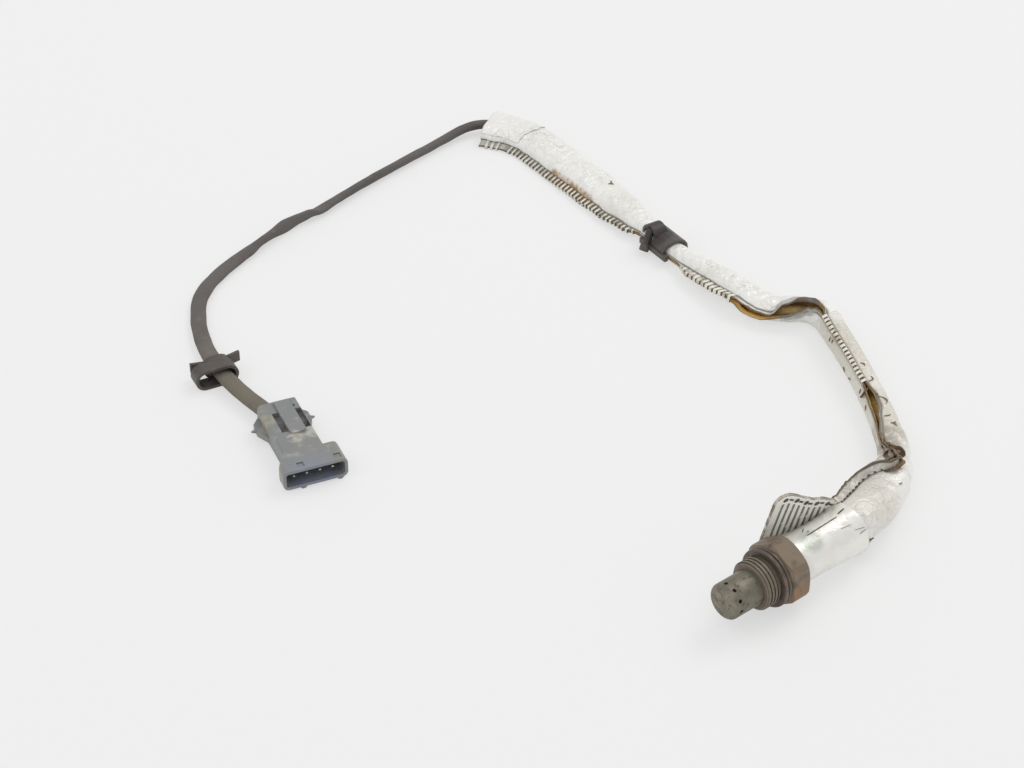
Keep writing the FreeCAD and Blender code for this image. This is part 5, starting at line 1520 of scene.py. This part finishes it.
def helix_tree():
    """Three-sided cutter swept along a helix round X, its sharp side inwards."""
    tree, given, out = geometry_tree("thread_cutter", {
        "Turns": 5.0, "Pitch": 0.0015, "Radius": 0.009, "Cutter": 0.0007})
    helix = add_node(tree, "GeometryNodeCurveSpiral", {
        "Resolution": 72, "Rotations": given["Turns"], "Start Radius": given["Radius"],
        "End Radius": given["Radius"], "Height": times(given["Turns"], given["Pitch"])})
    level = add_node(tree, "GeometryNodeSetCurveNormal", {"Curve": helix.outputs[0]}, mode="Z_UP")
    profile = add_node(tree, "GeometryNodeCurvePrimitiveCircle", {
        "Resolution": 3, "Radius": given["Cutter"]})
    point_in = add_node(tree, "GeometryNodeTransform", {
        "Geometry": profile.outputs[0], "Rotation": (0.0, 0.0, math.pi)})
    sweep = add_node(tree, "GeometryNodeCurveToMesh", {
        "Fill Caps": True, "Curve": level.outputs[0], "Profile Curve": point_in.outputs[0]})
    turn = add_node(tree, "GeometryNodeTransform", {
        "Geometry": sweep.outputs[0], "Rotation": (0.0, math.pi / 2, 0.0),
        "Translation": (THREAD_FROM * MM, 0.0, 0.0)})
    finish_tree(tree, turn.outputs[0], out, hexagon.material)
    return tree


cutter = grow("thread_cutter", bpy.data.meshes.new("empty"), helix_tree(),
              {"Turns": THREAD_TURNS, "Pitch": THREAD_PITCH * MM,
               "Radius": (THREAD_ROOT + CUTTER) * MM, "Cutter": CUTTER * MM})
mend(cutter)
body = into_scene("threaded_body", NODES["hex_body"].data.copy())
mend(body, weld=0.000002)
cut = body.modifiers.new("thread", "BOOLEAN")
cut.operation, cut.solver, cut.object = "DIFFERENCE", "EXACT", cutter
cut_mesh = plain_mesh(body)
body.modifiers.remove(cut)
body.data = cut_mesh
bpy.data.objects.remove(cutter)
cut_mesh.materials.clear()
cut_mesh.materials.append(hexagon.material)
cut_mesh.polygons.foreach_set("material_index", [0] * len(cut_mesh.polygons))
cut_mesh.polygons.foreach_set("use_smooth", [False] * len(cut_mesh.polygons))
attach(body, "root")
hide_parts("hex_body")


# %% [markdown]
# ## Finishes on the pieces that keep their engineering shape
# The record lists every node with the material slot it belongs to, so the finishes can be
# handed out by name.

# %% Finishes for the CAD nodes
FINISHES = {**STEEL, **INNER, **PLASTIC}
for row in frame["record"]["subparts"]:
    if row["material_slot"] in FINISHES:
        mesh = NODES[row["node"]].data
        mesh.materials.clear()
        mesh.materials.append(FINISHES[row["material_slot"]].material)
print("finishes handed out:", len(FINISHES))


# %% [markdown]
# ## The tips of the pins
# In the picture the four pale tips show just under the upper lip of the mouth, a little further
# forward than the engineering pins end. A short rounded tip is set on each one.

# %% Pin tips in the mouth
PIN_PITCH = 5.0
TIP_FROM, TIP_TO, TIP_RADIUS = 37.2, 40.4, 0.75


def pin_tips(sides=16):
    """Four tapered rods along the connector's own direction, level with the pins."""
    node = NODES["connector_terminals"]
    spots = [node.matrix_world @ v.co for v in node.data.vertices]
    heights = [p.z for p in spots if (p - CONNECTOR_AT * MM).dot(AHEAD) > 33.0 * MM]
    level = (min(heights) + max(heights)) / 2 / MM
    rings = ((TIP_FROM, 1.0), (TIP_TO - 1.0, 1.0), (TIP_TO - 0.4, 0.85), (TIP_TO, 0.5))
    tips = []
    for index in range(4):
        middle = CONNECTOR_AT + ASIDE * PIN_PITCH * (index - 1.5)
        vertices, faces = [], [tuple(range(sides)), tuple(range(3 * sides, 4 * sides))]
        for forward, share in rings:
            for side in range(sides):
                angle = 2 * math.pi * side / sides
                point = middle + AHEAD * forward + ASIDE * TIP_RADIUS * share * math.cos(angle)
                point.z = level + TIP_RADIUS * share * math.sin(angle)
                vertices.append(point * MM)
        for a in range(3 * sides):
            b = a // sides * sides + (a + 1) % sides
            faces.append((a, b, b + sides, a + sides))
        tips.append((vertices, faces))
    return joined(tips)


tips = new_piece("pin_tips", *pin_tips(), material=STEEL["terminal_metal"].material)
mend(tips)
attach(tips, "root")
